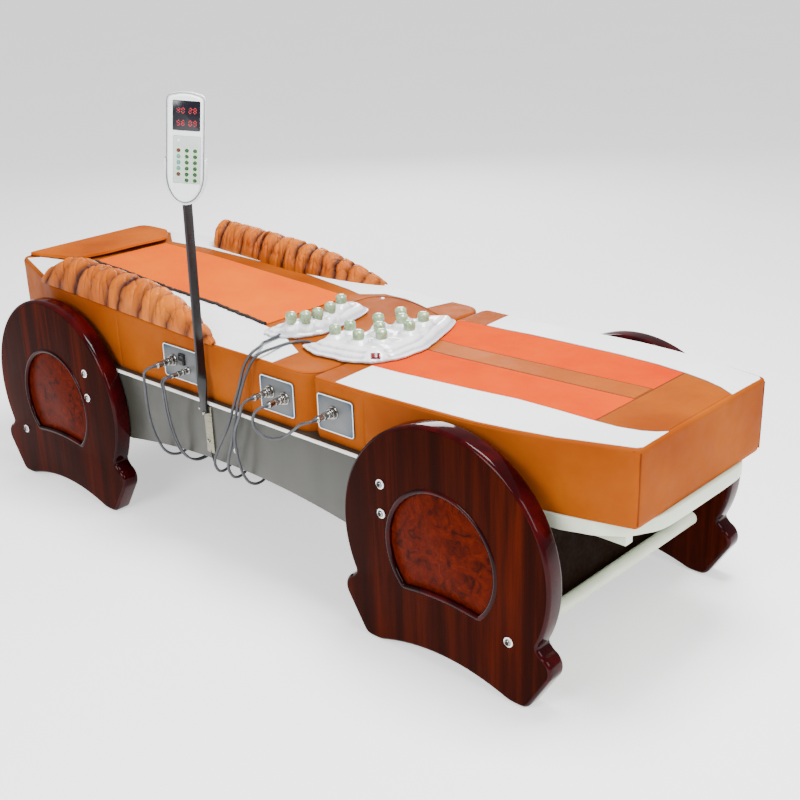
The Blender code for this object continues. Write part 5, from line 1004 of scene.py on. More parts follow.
ZIP_LINE = mm((-795, -96), (-660, -95), (-550, -100), (-450, -104.5), (-300, -103), (-200, -109), (-95, -118))
MAIN_CLOTH = ZIP_LINE + mm((-95, 150), (-200, 150), (-400, 150), (-600, 150), (-795, 136))
HEAD_WHITE = mm((-952, -199), (-930, -166), (-834, -134), (-764, -250), (-726, -272))
NEAR_WHITE = mm(
    (-560, -102), (-450, -107), (-300, -106), (-200, -112), (-119, -120), (-50, -132), (20, -158), (102, -201),
    (103, -276), (-60, -276), (-220, -276), (-400, -250), (-560, -200))
FAR_WHITE = mm(
    (-930, 208), (-870, 214), (-792, 159), (-680, 184), (-493, 200), (-370, 216), (-233, 202), (-136, 193),
    (-90, 184), (-40, 223.5), (30, 224), (80, 212), (116, 200), (132, 276), (-100, 276), (-300, 276), (-500, 276),
    (-716, 276), (-850, 232))
SEAM_FLAP = mm(
    (-62, -20), (-62, 60), (-56, 130), (-53, 169), (-46, 189), (-32, 203), (-11, 212), (23, 215), (63, 210),
    (112, 197), (216, 160), (216, -110), (140, -134), (90, -165), (30, -140), (-30, -100))
NEAR_FOOT_WHITE = mm(
    (289, -166), (400, -160), (541, -154), (653, -146), (750, -150), (828, -155), (883, -156), (927, -148),
    (952, -136), (966, -124), (967, -206), (960, -216), (900, -232), (820, -253), (740, -266), (660, -275),
    (600, -276), (450, -276), (292, -276))
FAR_FOOT_WHITE = mm(
    (311, 184), (425, 189), (533, 186), (666, 181), (761, 171), (840, 155), (890, 140), (930, 123), (966, 100),
    (967, 206), (960, 216), (900, 232), (820, 253), (740, 266), (660, 275), (600, 276), (450, 276), (303, 276))
NEAR_FOOT_CLOTH = mm(
    (239, -155), (289, -163.5), (400, -157.5), (541, -151.5), (653, -143.5), (750, -147.5), (831, -152.5),
    (831, -21.5), (239, -21.5))
FAR_FOOT_CLOTH = mm(
    (239, 44.5), (831, 44.5), (831, 154.5), (761, 168.5), (666, 178.5), (533, 183.5), (425, 186.5), (311, 181.5),
    (239, 176))
MIDDLE_STRIP = mm((231, -20), (828, -20), (828, 43), (231, 43))
FOOT_END_LEATHER = mm(
    (834, -152.5), (883, -153.5), (925, -145.5), (949, -133), (962.5, -121.5), (962.5, 99), (929, 120.5),
    (888, 137.5), (834.5, 153.5))


def build_panels():
    panel("main_cloth_panel", MAIN_CLOTH, "main_cloth", "frame", 0.0014, 0.0002, ["main_cover"], 0.014, 0.0008)
    panel("head_white_patch", HEAD_WHITE, "white_leather", "frame")
    panel("near_white_patch", NEAR_WHITE, "white_leather", "frame")
    panel("far_white_stripe", FAR_WHITE, "white_leather", "frame")
    panel("seam_flap", SEAM_FLAP, "tan_leather", "frame", 0.0011, -0.0009)
    panel("near_foot_stripe", NEAR_FOOT_WHITE, "white_leather", "foot_section")
    panel("far_foot_stripe", FAR_FOOT_WHITE, "white_leather", "foot_section")
    for name, outline in (("near_foot_cloth", NEAR_FOOT_CLOTH), ("far_foot_cloth", FAR_FOOT_CLOTH)):
        panel(name, outline, "foot_cloth", "foot_section", 0.0012, -0.0009, ["foot_cover"])
    panel("middle_strip", MIDDLE_STRIP, "strip_leather", "foot_section", 0.0014, -0.0009)
    panel("foot_end_leather", FOOT_END_LEATHER, "tan_leather", "foot_section", 0.001, -0.0004)


build_panels()


def edge_piping():
    """A thin leather cord sewn round the top edge of each section."""
    for name, plan, body in (("main_piping", MAIN_PLAN, "frame"), ("foot_piping", FOOT_PLAN, "foot_section")):
        work = bmesh.new()
        ring = face_of(work, plan)
        cuts(work, 0, steps(min(x for x, y in plan), max(x for x, y in plan), 0.03))
        bmesh.ops.dissolve_faces(work, faces=work.faces[:])
        loop = [v.co.copy() for v in work.faces[:][0].verts]
        work.free()
        centre_x = sum(p.x for p in loop) / len(loop)
        points = []
        for p in loop:
            inward = Vector((centre_x - p.x, -p.y, 0.0))
            if abs(p.y) > main_half(p.x) * 0.6 and MAIN_HEAD_X + 0.02 < p.x < FOOT_END_X - 0.02:
                inward = Vector((0.0, -p.y, 0.0))
            drawn = p + inward.normalized() * 0.003
            points.append(Vector((drawn.x, drawn.y, level(p.x) - 0.0052)))
        keep(name, round_line(name, points, 0.0016, True, 8), body, "piping_leather")


edge_piping()


# Bolsters

BOLSTER_WIDTH, BOLSTER_HEIGHT, BOLSTER_MIDDLE = 0.092, 0.078, 0.287
CREASE_DEPTH, WRINKLE_DEPTH, UNEVEN_DEPTH = 0.0165, 0.0036, 0.0016


def bolster_fullness(share, start):
    if share < start:
        full = max(0.0, 1 - (1 - share / start) ** 2) ** 0.7
    elif share < 0.52:
        full = 1.0
    else:
        full = max(0.0, math.cos((share - 0.52) / 0.48 * math.pi / 2)) ** 0.75
    return 0.13 + 0.87 * full


def pleat_places(count, seed):
    return [(k + 0.5 + 0.62 * ruffle(k * 3.7, seed, 0.0)) / count for k in range(count)]


def tuck_places(count, seed):
    """Short tucks that start at a long edge of the bolster and die out on its side."""
    tucks = []
    for k in range(count):
        low_side = ruffle(k * 2.9, seed, 11.0) > -0.15
        tucks.append(((k + 0.5 + 0.9 * ruffle(k * 5.3, seed, 5.0)) / count,
                      0.93 if low_side else 0.1, 0.16 + 0.16 * abs(ruffle(k * 1.7, seed, 3.0)),
                      ruffle(k * 7.1, seed, 1.0)))
    return tucks


def ruched_bolster(name, side, head_x, length, slimming, node, seed, count, start):
    """A side bolster of soft leather, gathered into uneven puffs with deep creases between them."""
    along, around = 440, 64
    creases = [-0.03] + pleat_places(count, seed) + [1.03]
    tucks = tuck_places(count * 2, seed)
    work = bmesh.new()
    bmesh.ops.create_grid(work, x_segments=along, y_segments=around, size=0.5)
    shade_layer = work.verts.layers.float.new("crease_shade")
    for vert in work.verts:
        u, v = vert.co.x + 0.5, vert.co.y + 0.5
        crown = math.sin(math.pi * v)
        lines = []
        for k, place in enumerate(creases):
            fan = ruffle(k * 4.1, 3.0, seed)
            sway = 0.02 * ruffle(k * 2.3, v * 2.6, seed)
            lines.append(place + (0.022 * fan + 0.012) * (v - 0.5) * 2 + 0.02 * crown + sway)
        after = next((k for k, line in enumerate(lines) if line > u), len(lines) - 1)
        after = max(1, after)
        left, right = lines[after - 1], lines[after]
        half = max(0.004, (right - left) / 2)
        to_left, to_right = u - left, right - u
        nearest = after - 1 if to_left < to_right else after
        share = min(1.0, max(0.0, min(to_left, to_right) / half))
        puff = math.sqrt(1 - (1 - share) ** 2.2)
        strength = 0.9 + 1.1 * ruffle(nearest * 5.1, seed, 7.0 + v * 1.2)
        size = bolster_fullness(u, start) * slimming
        seam_pull = 0.72 + 0.28 * (1 - crown)
        depth = max(0.3, strength) * (1 - puff) * seam_pull
        for place, root, reach, lean in tucks:
            off = u - place - 0.05 * lean * (v - root)
            if abs(off) < 0.03:
                depth += 0.42 * math.exp(-((v - root) / reach) ** 2) * math.exp(-abs(off) / 0.0055)
        fold = CREASE_DEPTH * depth * (0.35 + 0.65 * size)
        long_line = abs(ruffle(u * 21 + v * 2.3, v * 2.1, seed + 2))
        short_line = abs(ruffle(u * 40 - v * 3.1, v * 4.5, seed + 6))
        wrinkle = max(0.0, 1 - long_line / 0.16) ** 1.5 + 0.6 * max(0.0, 1 - short_line / 0.13) ** 1.5
        fold += WRINKLE_DEPTH * wrinkle * size
        fold += UNEVEN_DEPTH * (ruffle(u * 30, v * 5, seed + 4) + 0.4)
        fold *= 0.2 + 0.8 * eased(crown, 0.0, 0.4)
        # Painted shade: the crease_shade mark is strongest deep in each fold, along tucks and on wrinkles.
        vert[shade_layer] = min(1.0, (1 - share) ** 2.3 * max(0.2, strength) + 0.5 * depth * share
                           + 0.22 * wrinkle)
        width = BOLSTER_WIDTH * size
        middle = BOLSTER_MIDDLE - width / 2
        angle = math.pi * v
        across = math.cos(angle) * (width / 2 - fold * 0.75)
        up = math.sin(angle) ** 0.72 * (BOLSTER_HEIGHT * size - fold)
        base = skin(head_x + length * u, side * min(0.262, middle))
        vert.co = Vector((head_x + length * u, side * (middle + across), base + max(0.0, up)))
    piece = keep(name, closed_up(work), "frame", "bolster_leather", [node], 80)
    return piece


ruched_bolster("near_bolster", -1, -0.752, 0.668, 1.0, "bolster_near", 2.0, 11, 0.19)
ruched_bolster("far_bolster", 1, -0.708, 0.617, 0.93, "bolster_far", 9.0, 15, 0.09)


# Head flap

FLAP_OUTLINE = mm(
    (-971, -186), (-917, -164), (-826, -131), (-818, -108), (-808, -60), (-799, 10), (-790.5, 70), (-784, 124),
    (-788, 140), (-819, 165), (-845, 186), (-865, 196), (-930, 199), (-971, 192))
FLAP_ROOT_X = -0.968
FLAP_THICKNESS = 0.0058


def head_flap():
    """A soft leather flap sewn along the head end; its free edge stands a little off the bed."""
    work = bmesh.new()
    face_of(work, softened(FLAP_OUTLINE, 0.02, 9.0))
    cuts(work, 0, steps(-0.971, -0.784, 0.008))
    cuts(work, 1, steps(-0.186, 0.199, 0.01))
    for vert in work.verts:
        x, y = vert.co.x, vert.co.y
        out = max(0.0, (x - FLAP_ROOT_X) / 0.172)
        rise = 0.01 * out**2 * (0.45 + 0.55 / (1 + math.exp(-(y + 0.02) / 0.05)))
        waves = 0.0014 * out * ruffle(x * 10, y * 12, 0.0, 8.0)
        vert.co.z = skin(max(x, -0.966), y) + 0.0016 + rise + waves
    face_up(work)
    raised(work, work.faces[:], FLAP_THICKNESS)
    outward(work)
    # Painted shade: a dark red copy of the flap, sunk beneath it, fills the gap under its lifted free edge.
    under_shade = work.copy()
    for vert in work.verts:
        bulge = 0.0022 * math.sin(math.pi * min(1.0, max(0.0, (vert.co.x - FLAP_ROOT_X) / 0.175))) ** 0.7
        vert.co.z += 0.0018 + (bulge if vert.normal.z > 0.1 else 0.0)
    for vert in under_shade.verts:
        if vert.normal.z > 0.1:
            vert.co.z -= 0.0035
        vert.co.x -= 0.0012
    keep("head_flap_under_shade", under_shade, "head_flap", "flap_lining", ["head_flap"], 60)
    piece = keep("head_flap_leather", work, "head_flap", "flap_leather", ["head_flap"], 60)
    bevel = piece.modifiers.new("rolled edge", "BEVEL")
    bevel.width = 0.0019
    bevel.segments = 3
    bevel.limit_method = "ANGLE"
    bevel.angle_limit = math.radians(50)
    return piece


head_flap()


def snap_and_zip():
    """The white snap on the seam flap, and the dark uneven zip edge of the main cloth."""
    place = Matrix.Translation((-0.019, 0.192, skin(-0.019, 0.192)))
    head = mm((0, 3.6), (3, 3.2), (4.5, 2.1), (4.8, 0.8), (4.8, -0.4), (0, -0.4))
    keep("flap_snap", turned(head, place, 16), "frame", "plate_border")
    points = []
    for i in range(241):
        x = -0.792 + 0.697 * i / 240
        after = next(k for k in range(1, len(ZIP_LINE)) if ZIP_LINE[k][0] >= x)
        (a, p), (b, q) = ZIP_LINE[after - 1], ZIP_LINE[after]
        y = p + (q - p) * (x - a) / (b - a) - 0.0035
        y -= 0.0046 * ruffle(x * 34, 0.0, 0.0, 2.0) + 0.003 * ruffle(x * 110, 1.0, 0.0)
        points.append(Vector((x, y, skin(x, y) + 0.0028 + 0.0016 * ruffle(x * 60, 3.0, 0.0))))
    work = round_line("zip", points, 0.0042, False, 8)
    points = [p + Vector((0.0, 0.0035 * ruffle(p.x * 46, 5.0, 0.0) + 0.001, -0.0006)) for p in points]
    absorb(work, round_line("zip", points, 0.0042, False, 8))
    keep("main_zip_edge", work, "frame", "zip_tape")
    pull = box_between((-0.112, -0.125, 0.0), (-0.098, -0.119, 0.0026),
                       moved(0.0, 0.0, TOP_LEVEL + 0.0006), 0.0008)
    keep("zip_slider", pull, "frame", "dark_metal")


snap_and_zip()


# Projectors

HAND_SHARES = (
    (-0.21, -0.5), (0.13, -0.455), (0.375, -0.345), (0.51, -0.2), (0.49, -0.04), (0.425, 0.145),
    (0.34, 0.325), (0.21, 0.455), (-0.02, 0.5), (-0.275, 0.48), (-0.415, 0.38), (-0.375, 0.235),
    (-0.25, 0.07), (-0.19, -0.055), (-0.24, -0.185), (-0.39, -0.295), (-0.5, -0.4), (-0.415, -0.485),
)
HAND_STONES = ((0.06, -0.365), (0.24, -0.28), (0.287, -0.163), (0.215, 0.01), (0.02, 0.22))
LARGE_SHARES = (
    (-0.5, -0.443), (-0.285, -0.5), (0.0, -0.49), (0.2, -0.463), (0.365, -0.389), (0.467, -0.269),
    (0.5, -0.074), (0.45, 0.089), (0.387, 0.203), (0.289, 0.374), (0.19, 0.489), (0.075, 0.5),
    (-0.067, 0.437), (-0.12, 0.331), (-0.21, 0.231), (-0.173, 0.117), (-0.245, 0.003), (-0.298, -0.14),
    (-0.387, -0.226), (-0.413, -0.34),
)
LARGE_STONES = (
    (-0.227, -0.334), (-0.2, -0.222), (0.062, -0.32), (-0.131, -0.014), (0.058, -0.131),
    (0.222, -0.226), (-0.088, 0.163), (0.055, 0.074), (0.258, 0.0), (0.187, 0.18),
)
PROJECTOR_BASE = 0.5073
RELIEF_RINGS = 23
SHELL_CELL = 0.0028
SWITCH_SPOT = Vector((0.28262, -0.14875))


def smooth_loop(points, count=6):
    """A closed smooth line through the points."""
    made = []
    total = len(points)
    for i in range(total):
        a, b, c, d = (Vector(points[(i + k) % total]) for k in (-1, 0, 1, 2))
        for j in range(count):
            t = j / count
            made.append((b * 2 + (c - a) * t + (a * 2 - b * 5 + c * 4 - d) * t**2
                         + (b * 3 - a - c * 3 + d) * t**3) / 2)
    return made


def gap_to_loop(point, loop):
    best = 9.0
    for p, q in zip(loop, loop[1:] + loop[:1]):
        along = q - p
        share = max(0.0, min(1.0, (point - p).dot(along) / max(1e-12, along.length_squared)))
        best = min(best, (point - p - along * share).length)
    return best


def shell_height(point, gap, spots, centre):
    """A thin lip, a steep wall with a terrace, a dished deck and a funnel that rises round each head."""
    z = 0.0062 + 0.0016 * eased(gap, 0.0, 0.004)
    near_side = eased(centre[1] + 0.02 - point.y, -0.05, 0.06)
    z += 0.0125 * eased(gap, 0.004, 0.02 + 0.01 * near_side) + 0.0034 * eased(gap, 0.024, 0.036)
    mounds, funnel = 0.0, 0.0
    for spot in spots:
        away = (point - spot).length
        mounds += math.exp(-(away / 0.023) ** 2)
        funnel = max(funnel, 1 / (1 + (max(0.0, away - 0.0125) / 0.005) ** 2.4))
    z += 0.0085 * min(1.0, mounds) * eased(gap, 0.004, 0.022) + 0.008 * funnel * eased(gap, 0.002, 0.014)
    flow = math.sin((gap + 0.006 * ruffle(point.x * 9, point.y * 9, 0.0, 2.0)) * math.tau / 0.0125)
    z += 0.0022 * flow * math.exp(-((gap - 0.021) / 0.012) ** 2) * (0.35 + 0.65 * near_side)
    far_side = eased(point.x - centre[0], 0.0, 0.05) * eased(point.y - centre[1], -0.06, 0.0)
    z += 0.003 * math.exp(-((gap - 0.015) / 0.0032) ** 2) * far_side
    z += 0.0012 * ruffle(point.x * 34, point.y * 34, 0.0, 6.0) * eased(gap, 0.004, 0.02)
    seat = (point - SWITCH_SPOT).length
    if seat < 0.034:
        off = point - SWITCH_SPOT
        level_there = 0.52236 - PROJECTOR_BASE - 0.4756 * off.x + 0.5122 * off.y
        share = 1.0 - eased(seat, 0.012, 0.032)
        z += (max(0.006, level_there) - z) * share * eased(gap, 0.0, 0.004)
    return min(z, 0.0366)


def projector_shell(name, shares, stones, place, relief_end, aim):
    """The glossy white shell: a soft-edged low form rising in a funnel round each jade head."""
    centre_x, centre_y, width, length = place
    body, nodes = name + "_projector", [name + "_projector_case"]
    outline = [Vector((centre_x + x * width, centre_y + y * length)) for x, y in shares]
    loop = smooth_loop(outline, 5)
    run = 0.0
    waved = []
    for p, q in zip(loop, loop[1:] + loop[:1]):
        run += (q - p).length
        out = Vector(((q - p).y, -(q - p).x)).normalized()
        wave = 0.0016 * math.sin(run * math.tau / 0.071 + 1.2) + 0.0009 * math.sin(run * math.tau / 0.033)
        waved.append(p + out * wave * eased(centre_y + 0.04 - p.y, 0.0, 0.05))
    loop = waved
    spots = [Vector((centre_x + x * width, centre_y + y * length)) for x, y in stones]
    work = bmesh.new()
    face_of(work, loop)
    square_cuts(work, loop, SHELL_CELL)
    split_large_faces(work)
    face_up(work)
    rim = {v for e in work.edges if e.is_boundary for v in e.verts}
    valley_shade = work.verts.layers.float.new("valley_shade")
    for vert in work.verts:
        point = Vector((vert.co.x, vert.co.y))
        gap = 0.0 if vert in rim else gap_to_loop(point, loop)
        vert.co.z = PROJECTOR_BASE + shell_height(point, gap, spots, (centre_x, centre_y))
    for _ in range(2):
        heights = {v: (v.co.z + sum(e.other_vert(v).co.z for e in v.link_edges)) / (1 + len(v.link_edges))
                   for v in work.verts if v not in rim}
        for vert, height in heights.items():
            vert.co.z = height
    # Painted shade: the valley_shade mark grows with how far each point lies below its smoothed neighbours.
    heights = {v: v.co.z for v in work.verts}
    for _ in range(4):
        heights = {v: (heights[v] + sum(heights[e.other_vert(v)] for e in v.link_edges)) / (1 + len(v.link_edges))
                   for v in work.verts}
    for vert in work.verts:
        vert[valley_shade] = 0.0 if vert in rim else min(1.0, max(0.0, (heights[vert] - vert.co.z) / 0.0005))
    edges = [e for e in work.edges if e.is_boundary]
    for share, draw in ((0.5, 0.0006), (0.0, 0.0048)):
        grown = bmesh.ops.extrude_edge_only(work, edges=edges)
        edges = [e for e in grown["geom"] if isinstance(e, bmesh.types.BMEdge)]
        for vert in verts_in(grown):
            vert.co.z = PROJECTOR_BASE + (vert.co.z - PROJECTOR_BASE) * share
            toward = Vector((centre_x - vert.co.x, centre_y - vert.co.y, 0.0)).normalized()
            vert.co += toward * draw
    keep(name + "_shell", closed_up(work), body, "gloss_white", nodes, 70)
    turn = Vector((*aim, 0.0)).normalized().to_track_quat("Z", "Y").to_matrix().to_4x4()
    profile = [(0.0, -0.046)]
    for i in range(RELIEF_RINGS + 1):
        radius = 0.0043 - 0.0011 * (i / RELIEF_RINGS) ** 1.2 - (0.00045 if i % 4 >= 2 else 0.0)
        profile.append((radius, -0.046 + 0.0457 * i / RELIEF_RINGS))
    profile.append((0.0, -0.0003))
    keep(name + "_relief", turned(profile, moved(*relief_end) @ turn, 18), body, "relief_rubber",
         nodes)
    return spots


def jade_heads(name, spots):
    """Barrel-shaped jade heads with domed, bright tops, each standing in its funnel."""
    profile = mm(
        (0, 56.3), (6, 56.1), (8.4, 55.3), (9.6, 53.7), (11.2, 53), (12.6, 51.6), (13.1, 49), (13.2, 44), (13, 39),
        (12, 35.6), (10.8, 34.4), (10.8, 29), (0, 29))
    work = turned_at([moved(*spot, PROJECTOR_BASE) for spot in spots], profile, 28)
    keep(name + "_heads", work, name + "_projector", "jade", [name + "_projector_stones"], 50)


def build_projectors():
    for name, *form in (
            ("hand", HAND_SHARES, HAND_STONES, (0.005, -0.0345, 0.12, 0.275), HAND_LEAD[-1], (0.15, -1.0)),
            ("large", LARGE_SHARES, LARGE_STONES, (0.205, -0.021, 0.225, 0.35), LARGE_LEAD[-1], (-1.0, 0.05))):
        jade_heads(name, projector_shell(name, *form))
    place = moved(*SWITCH_SPOT, 0.52306) @ spun(43, "Z") @ spun(35, "X")
    work = prism(rounded_rectangle(0.0, 0.0, 0.0205, 0.0145, 0.0016, 3), 0.003, place @ moved(0.0, 0.0, -0.0022),
                 0.0006)
    bezel = keep("large_switch_bezel", work, "large_projector", "red_plastic",
                 ["large_projector_case"])
    carve(bezel, box_between((-0.0088, -0.0058, -0.01), (0.0088, 0.0058, 0.01), place))

    def surface(across, up):
        return across * 0.0082, up * 0.0052, 0.0026 - 0.0012 * math.exp(-((across - 0.45) / 0.35) ** 2)

    rocker("large_switch_rocker", "large_projector_switch", "red_plastic", (20, 6), surface, -0.0015,
           place @ spun(-6, "Y"))


build_projectors()


# Handset, holder and keys

HANDSET_PLACE = Matrix(((0.72761, 0.07391, 0.682, -0.0849), (0.67851, 0.06892, -0.73135, -0.31718),
                        (-0.10106, 0.99488, 0.0, 0.83385), (0.0, 0.0, 0.0, 1.0)))
HANDSET_FACE = 0.0283
WINDOW, KEYPAD = (0.0029, 0.1798), (0.0042, 0.0909)
KEY_PITCH_X, KEY_PITCH_Y, TOP_KEY_Y = 0.01675, 0.01217, 0.1097


def on_handset(x, y, z):
    return HANDSET_PLACE @ moved(x, y, z)


def handset_outline(grow, height=None, bowl=0.06):
    half = 0.03875 + grow
    points = []
    for i in range(25):
        angle = math.pi * i / 24
        points.append((-half * math.cos(angle), bowl - (bowl + grow) * math.sin(angle)))
    if height is not None:
        return points + [(half, height), (-half, height)]
    corner = 0.012
    points += arc(half - corner, 0.221 + grow - corner, corner, 0, 82, 5)
    points += [(0.012, 0.2246 + grow), (0.0, 0.225 + grow), (-0.012, 0.2246 + grow)]
    return points + arc(corner - half, 0.221 + grow - corner, corner, 98, 180, 5)


def tile(x, y, width, height, corner, depth, z, rounding=0.0):
    """A rounded rectangle drawn up from a level of the handset."""
    return prism(rounded_rectangle(x, y, width, height, corner), depth, on_handset(0.0, 0.0, z), rounding)


def build_handset():
    case, keypad = ["handset_case"], ["keypad_plate"]
    # Painted shade: the back shell takes a greyer copy of the front shell's white plastic.
    back = prism(handset_outline(0.0), 0.0205, on_handset(0.0, 0.0, 0.0003), 0.0045, 4, True)
    keep("handset_back_shell", back, "handset", "case_white", case, 45)
    front = prism(handset_outline(-0.003), 0.0125, on_handset(0.0, 0.0, 0.0153), 0.0042, 5)
    shell = keep("handset_front_shell", front, "handset", "white_plastic", case, 45)
    parting = [(*point, 0.0) for point in handset_outline(-0.0006)]
    line = placed(round_line("parting", parting, 0.0011, True, 6), on_handset(0.0, 0.0, 0.0204))
    keep("handset_parting_line", line, "handset", "parting_grey", case)
    carve(shell, tile(*WINDOW, 0.056, 0.0605, 0.0025, 0.01, 0.0258))
    carve(shell, tile(*KEYPAD, 0.056, 0.0974, 0.002, 0.01, 0.0235))
    keep("display_glass_pane", tile(*WINDOW, 0.0552, 0.0597, 0.0022, 0.0016, 0.0259, 0.0004), "handset",
         "display_glass", ["display_window"])
    plate = keep("keypad_panel", tile(*KEYPAD, 0.0552, 0.0966, 0.0018, 0.004, 0.0238, 0.0004), "handset",
                 "keypad_grey", keypad)
    spots = [spot for column in range(3) for spot in key_spots(column)]
    hole = mm((0, -6), (4.1, -6), (4.1, 6), (0, 6))
    carve(plate, turned_at([on_handset(*spot, HANDSET_FACE) for spot in spots], hole, 16))
    ring = mm((4.2, -0.9), (6, -0.9), (6, -0.2), (5.6, 0.2), (4.6, 0.2), (4.2, -0.2), (4.2, -0.9))
    rings = turned_at([on_handset(*spot, 0.0281) for spot in spots], ring, 18)
    keep("key_surrounds", rings, "handset", "key_surround", keypad)
    lamp = mm((0, 1.2), (1.8, 1), (3, 0.3), (3.2, -0.6), (0, -0.6))
    keep("handset_lamp", turned(lamp, on_handset(-0.0125, 0.13, 0.0279), 16), "handset", "lamp")
    dome = mm((0, 1.6), (1.2, 1.55), (2.4, 1.2), (3.3, 0.5), (3.6, -0.6), (3.6, -3.4), (0, -3.4))
    for column, name in enumerate(("left", "middle", "right")):
        spots = key_spots(column)
        work = turned_at([on_handset(*spot, HANDSET_FACE) for spot in spots], dome, 16)
        finishes, slot = ["key_green"], "green_rubber"
        if column == 0:
            finishes, slot = ["key_blue", "key_red"], "blue_rubber"
            for place, face in enumerate(work.faces):
                row = place // (len(work.faces) // len(spots))
                face.material_index = 1 if row in (0, 4) else 0
        keep("keys_" + name, work, "key_column_" + name, finishes, ["key_column_" + name])


def key_spots(column):
    x = KEYPAD[0] + (column - 1) * KEY_PITCH_X
    return [(x, TOP_KEY_Y - row * KEY_PITCH_Y) for row in range(5 if column == 0 else 6)]


SEGMENTS = {"0": "abcdef", "1": "bc", "2": "abged", "3": "abgcd", "4": "fgbc", "5": "afgcd", "6": "afgedc",
            "7": "abc", "8": "abcdefg", "9": "abcdfg"}


def display_digits():
    """Four two-digit readings in slanted seven-segment figures; unlit segments show faintly."""
    size_x, size_y, half = 0.0054, 0.01, 0.0009
    spans = {
        "a": (0.0, size_y, True), "g": (0.0, size_y / 2, True), "d": (0.0, 0.0, True),
        "f": (0.0, size_y / 2, False), "b": (size_x, size_y / 2, False), "e": (0.0, 0.0, False),
        "c": (size_x, 0.0, False),
    }
    on, off = bmesh.new(), bmesh.new()
    readings = ((-0.0165, 0.185, "40"), (0.0075, 0.185, "28"), (-0.0165, 0.16, "56"), (0.0075, 0.16, "09"))
    for left, low, text in readings:
        for place, figure in enumerate(text):
            for key, (x, y, level_bar) in spans.items():
                length = size_x if level_bar else size_y / 2
                hexagon = [(half, 0.0), (half * 1.9, half), (length - half * 1.9, half), (length - half, 0.0),
                           (length - half * 1.9, -half), (half * 1.9, -half)]
                if not level_bar:
                    hexagon = [(-across, along) for along, across in hexagon]
                shear = [(left + place * 0.0094 + x + px + (y + py) * 0.08, low + y + py) for px, py in hexagon]
                work = prism(shear, 0.00035, on_handset(0.0, 0.0, 0.02742))
                absorb(on if key in SEGMENTS[figure] else off, work)
    keep("display_lit_segments", outward(on), "handset", "red_digit")
    keep("display_dark_segments", outward(off), "handset", "dark_segment")


def build_holder():
    """An open-fronted clip round the handset's lower half, on a barrel that turns on the pole."""
    # The clip takes the same greyer, shaded white as the handset's back shell.
    work = prism(handset_outline(0.0045, 0.091), 0.025, on_handset(0.0, 0.0, -0.003), 0.0022, 3, True)
    clip = keep("holder_clip", work, "holder", "case_white", ["holder"], 45)
    carve(clip, prism(handset_outline(0.0005, 0.1), 0.04, on_handset(0.0, 0.0, 0.0)))
    place = moved(-0.09673, -0.3065, 0.8423) @ spun(POLE_LEAN, "Y")
    profile = mm(
        (5.2, 0), (8.6, 0), (9, 0.6), (9, 12), (8.4, 12.6), (8.4, 14.2), (9, 14.8), (9, 54), (8.2, 55), (5.2, 55),
        (5.2, 0))
    keep("holder_barrel", turned(profile, place, 32), "holder", "white_plastic", ["holder"])
    web = box_between((-0.0042, -0.0148, 0.004), (0.0042, -0.008, 0.044), place @ spun(43, "Z"), 0.001)
    keep("holder_web", web, "holder", "white_plastic", ["holder"])


build_handset()
display_digits()
build_holder()


# Legs

LEG_SPOTS = (("head", -0.664, 1), ("foot", 0.62, -1))
LEG_INNER_Y, LEG_THICKNESS, TUBE_HEIGHT = 0.3, 0.045, 0.131
INLAY_FLOOR, BEAD_LEVEL, BOLT_LEVEL = 0.035, 0.042, 0.0452
RAIL_BOLT_HEIGHTS = 0.358, 0.295
RAIL_DEPTH, RAIL_WALL = 0.038, 0.003
RAIL_BOLT_DROP, TUBE_BOLT_REACH = 0.148, 0.165
BOLT_PARTS = (
    ("bolt_washers_", "plate_border", 35, 24, mm(
        (0, 0), (10.2, 0), (10.2, 1), (9.6, 1.6), (7.2, 1.8), (6.8, 1), (0, 1))),
    ("bolt_heads_", "chrome", 35, 24, mm(
        (0, 1.1), (6.9, 1.1), (6.9, 2.6), (6, 4.4), (4.6, 5.2), (4.2, 5), (4, 3.4), (0, 3.4))),
    # Painted shade: a dark hexagon fills each bolt head's socket.
    ("bolt_socket_shades_", "dark_metal", 40, 6, mm((0, 4.6), (4.4, 4.6), (4.4, 3.1), (0, 3.1))),
)


def leg_outline():
    """A round panel with two side knobs above its feet and a low arch between them."""
    drop = math.degrees(math.asin((0.256 - 0.14) / 0.255))
    points = arc(0.0, 0.256, 0.255, -drop, 180 + drop, 72)
    points += arc(-0.228, 0.097, 0.032, 110, 215, 10) + [(-0.205, 0.0), (-0.165, 0.0)]
    points += [(0.165 * (i / 8 - 1), 0.029 * (1 - (i / 8 - 1) ** 2)) for i in range(1, 16)]
    points += [(0.165, 0.0), (0.205, 0.0)] + arc(0.228, 0.097, 0.032, -35, 70, 10)
    return softened(points, 0.014)


def inlay_outline(inset):
    radius, drop = 0.133 - inset, 0.094 - inset
    angle = math.degrees(math.asin(drop / radius))
    half = radius * math.cos(math.radians(angle))
    points = arc(0.0, 0.247, radius, -angle, 180 + angle, 56)
    return points + [(half * (i / 6 - 1), 0.247 - drop + 0.008 * (1 - (i / 6 - 1) ** 2)) for i in range(1, 12)]


def side_place(x, side, y):
    """A drawing plane whose local Z points out of the bed's near or far side."""
    if side < 0:
        return facing_near(x, -y, 0.0)
    return moved(x, y, 0.0) @ spun(180, "Z") @ facing_near(0.0, 0.0, 0.0)


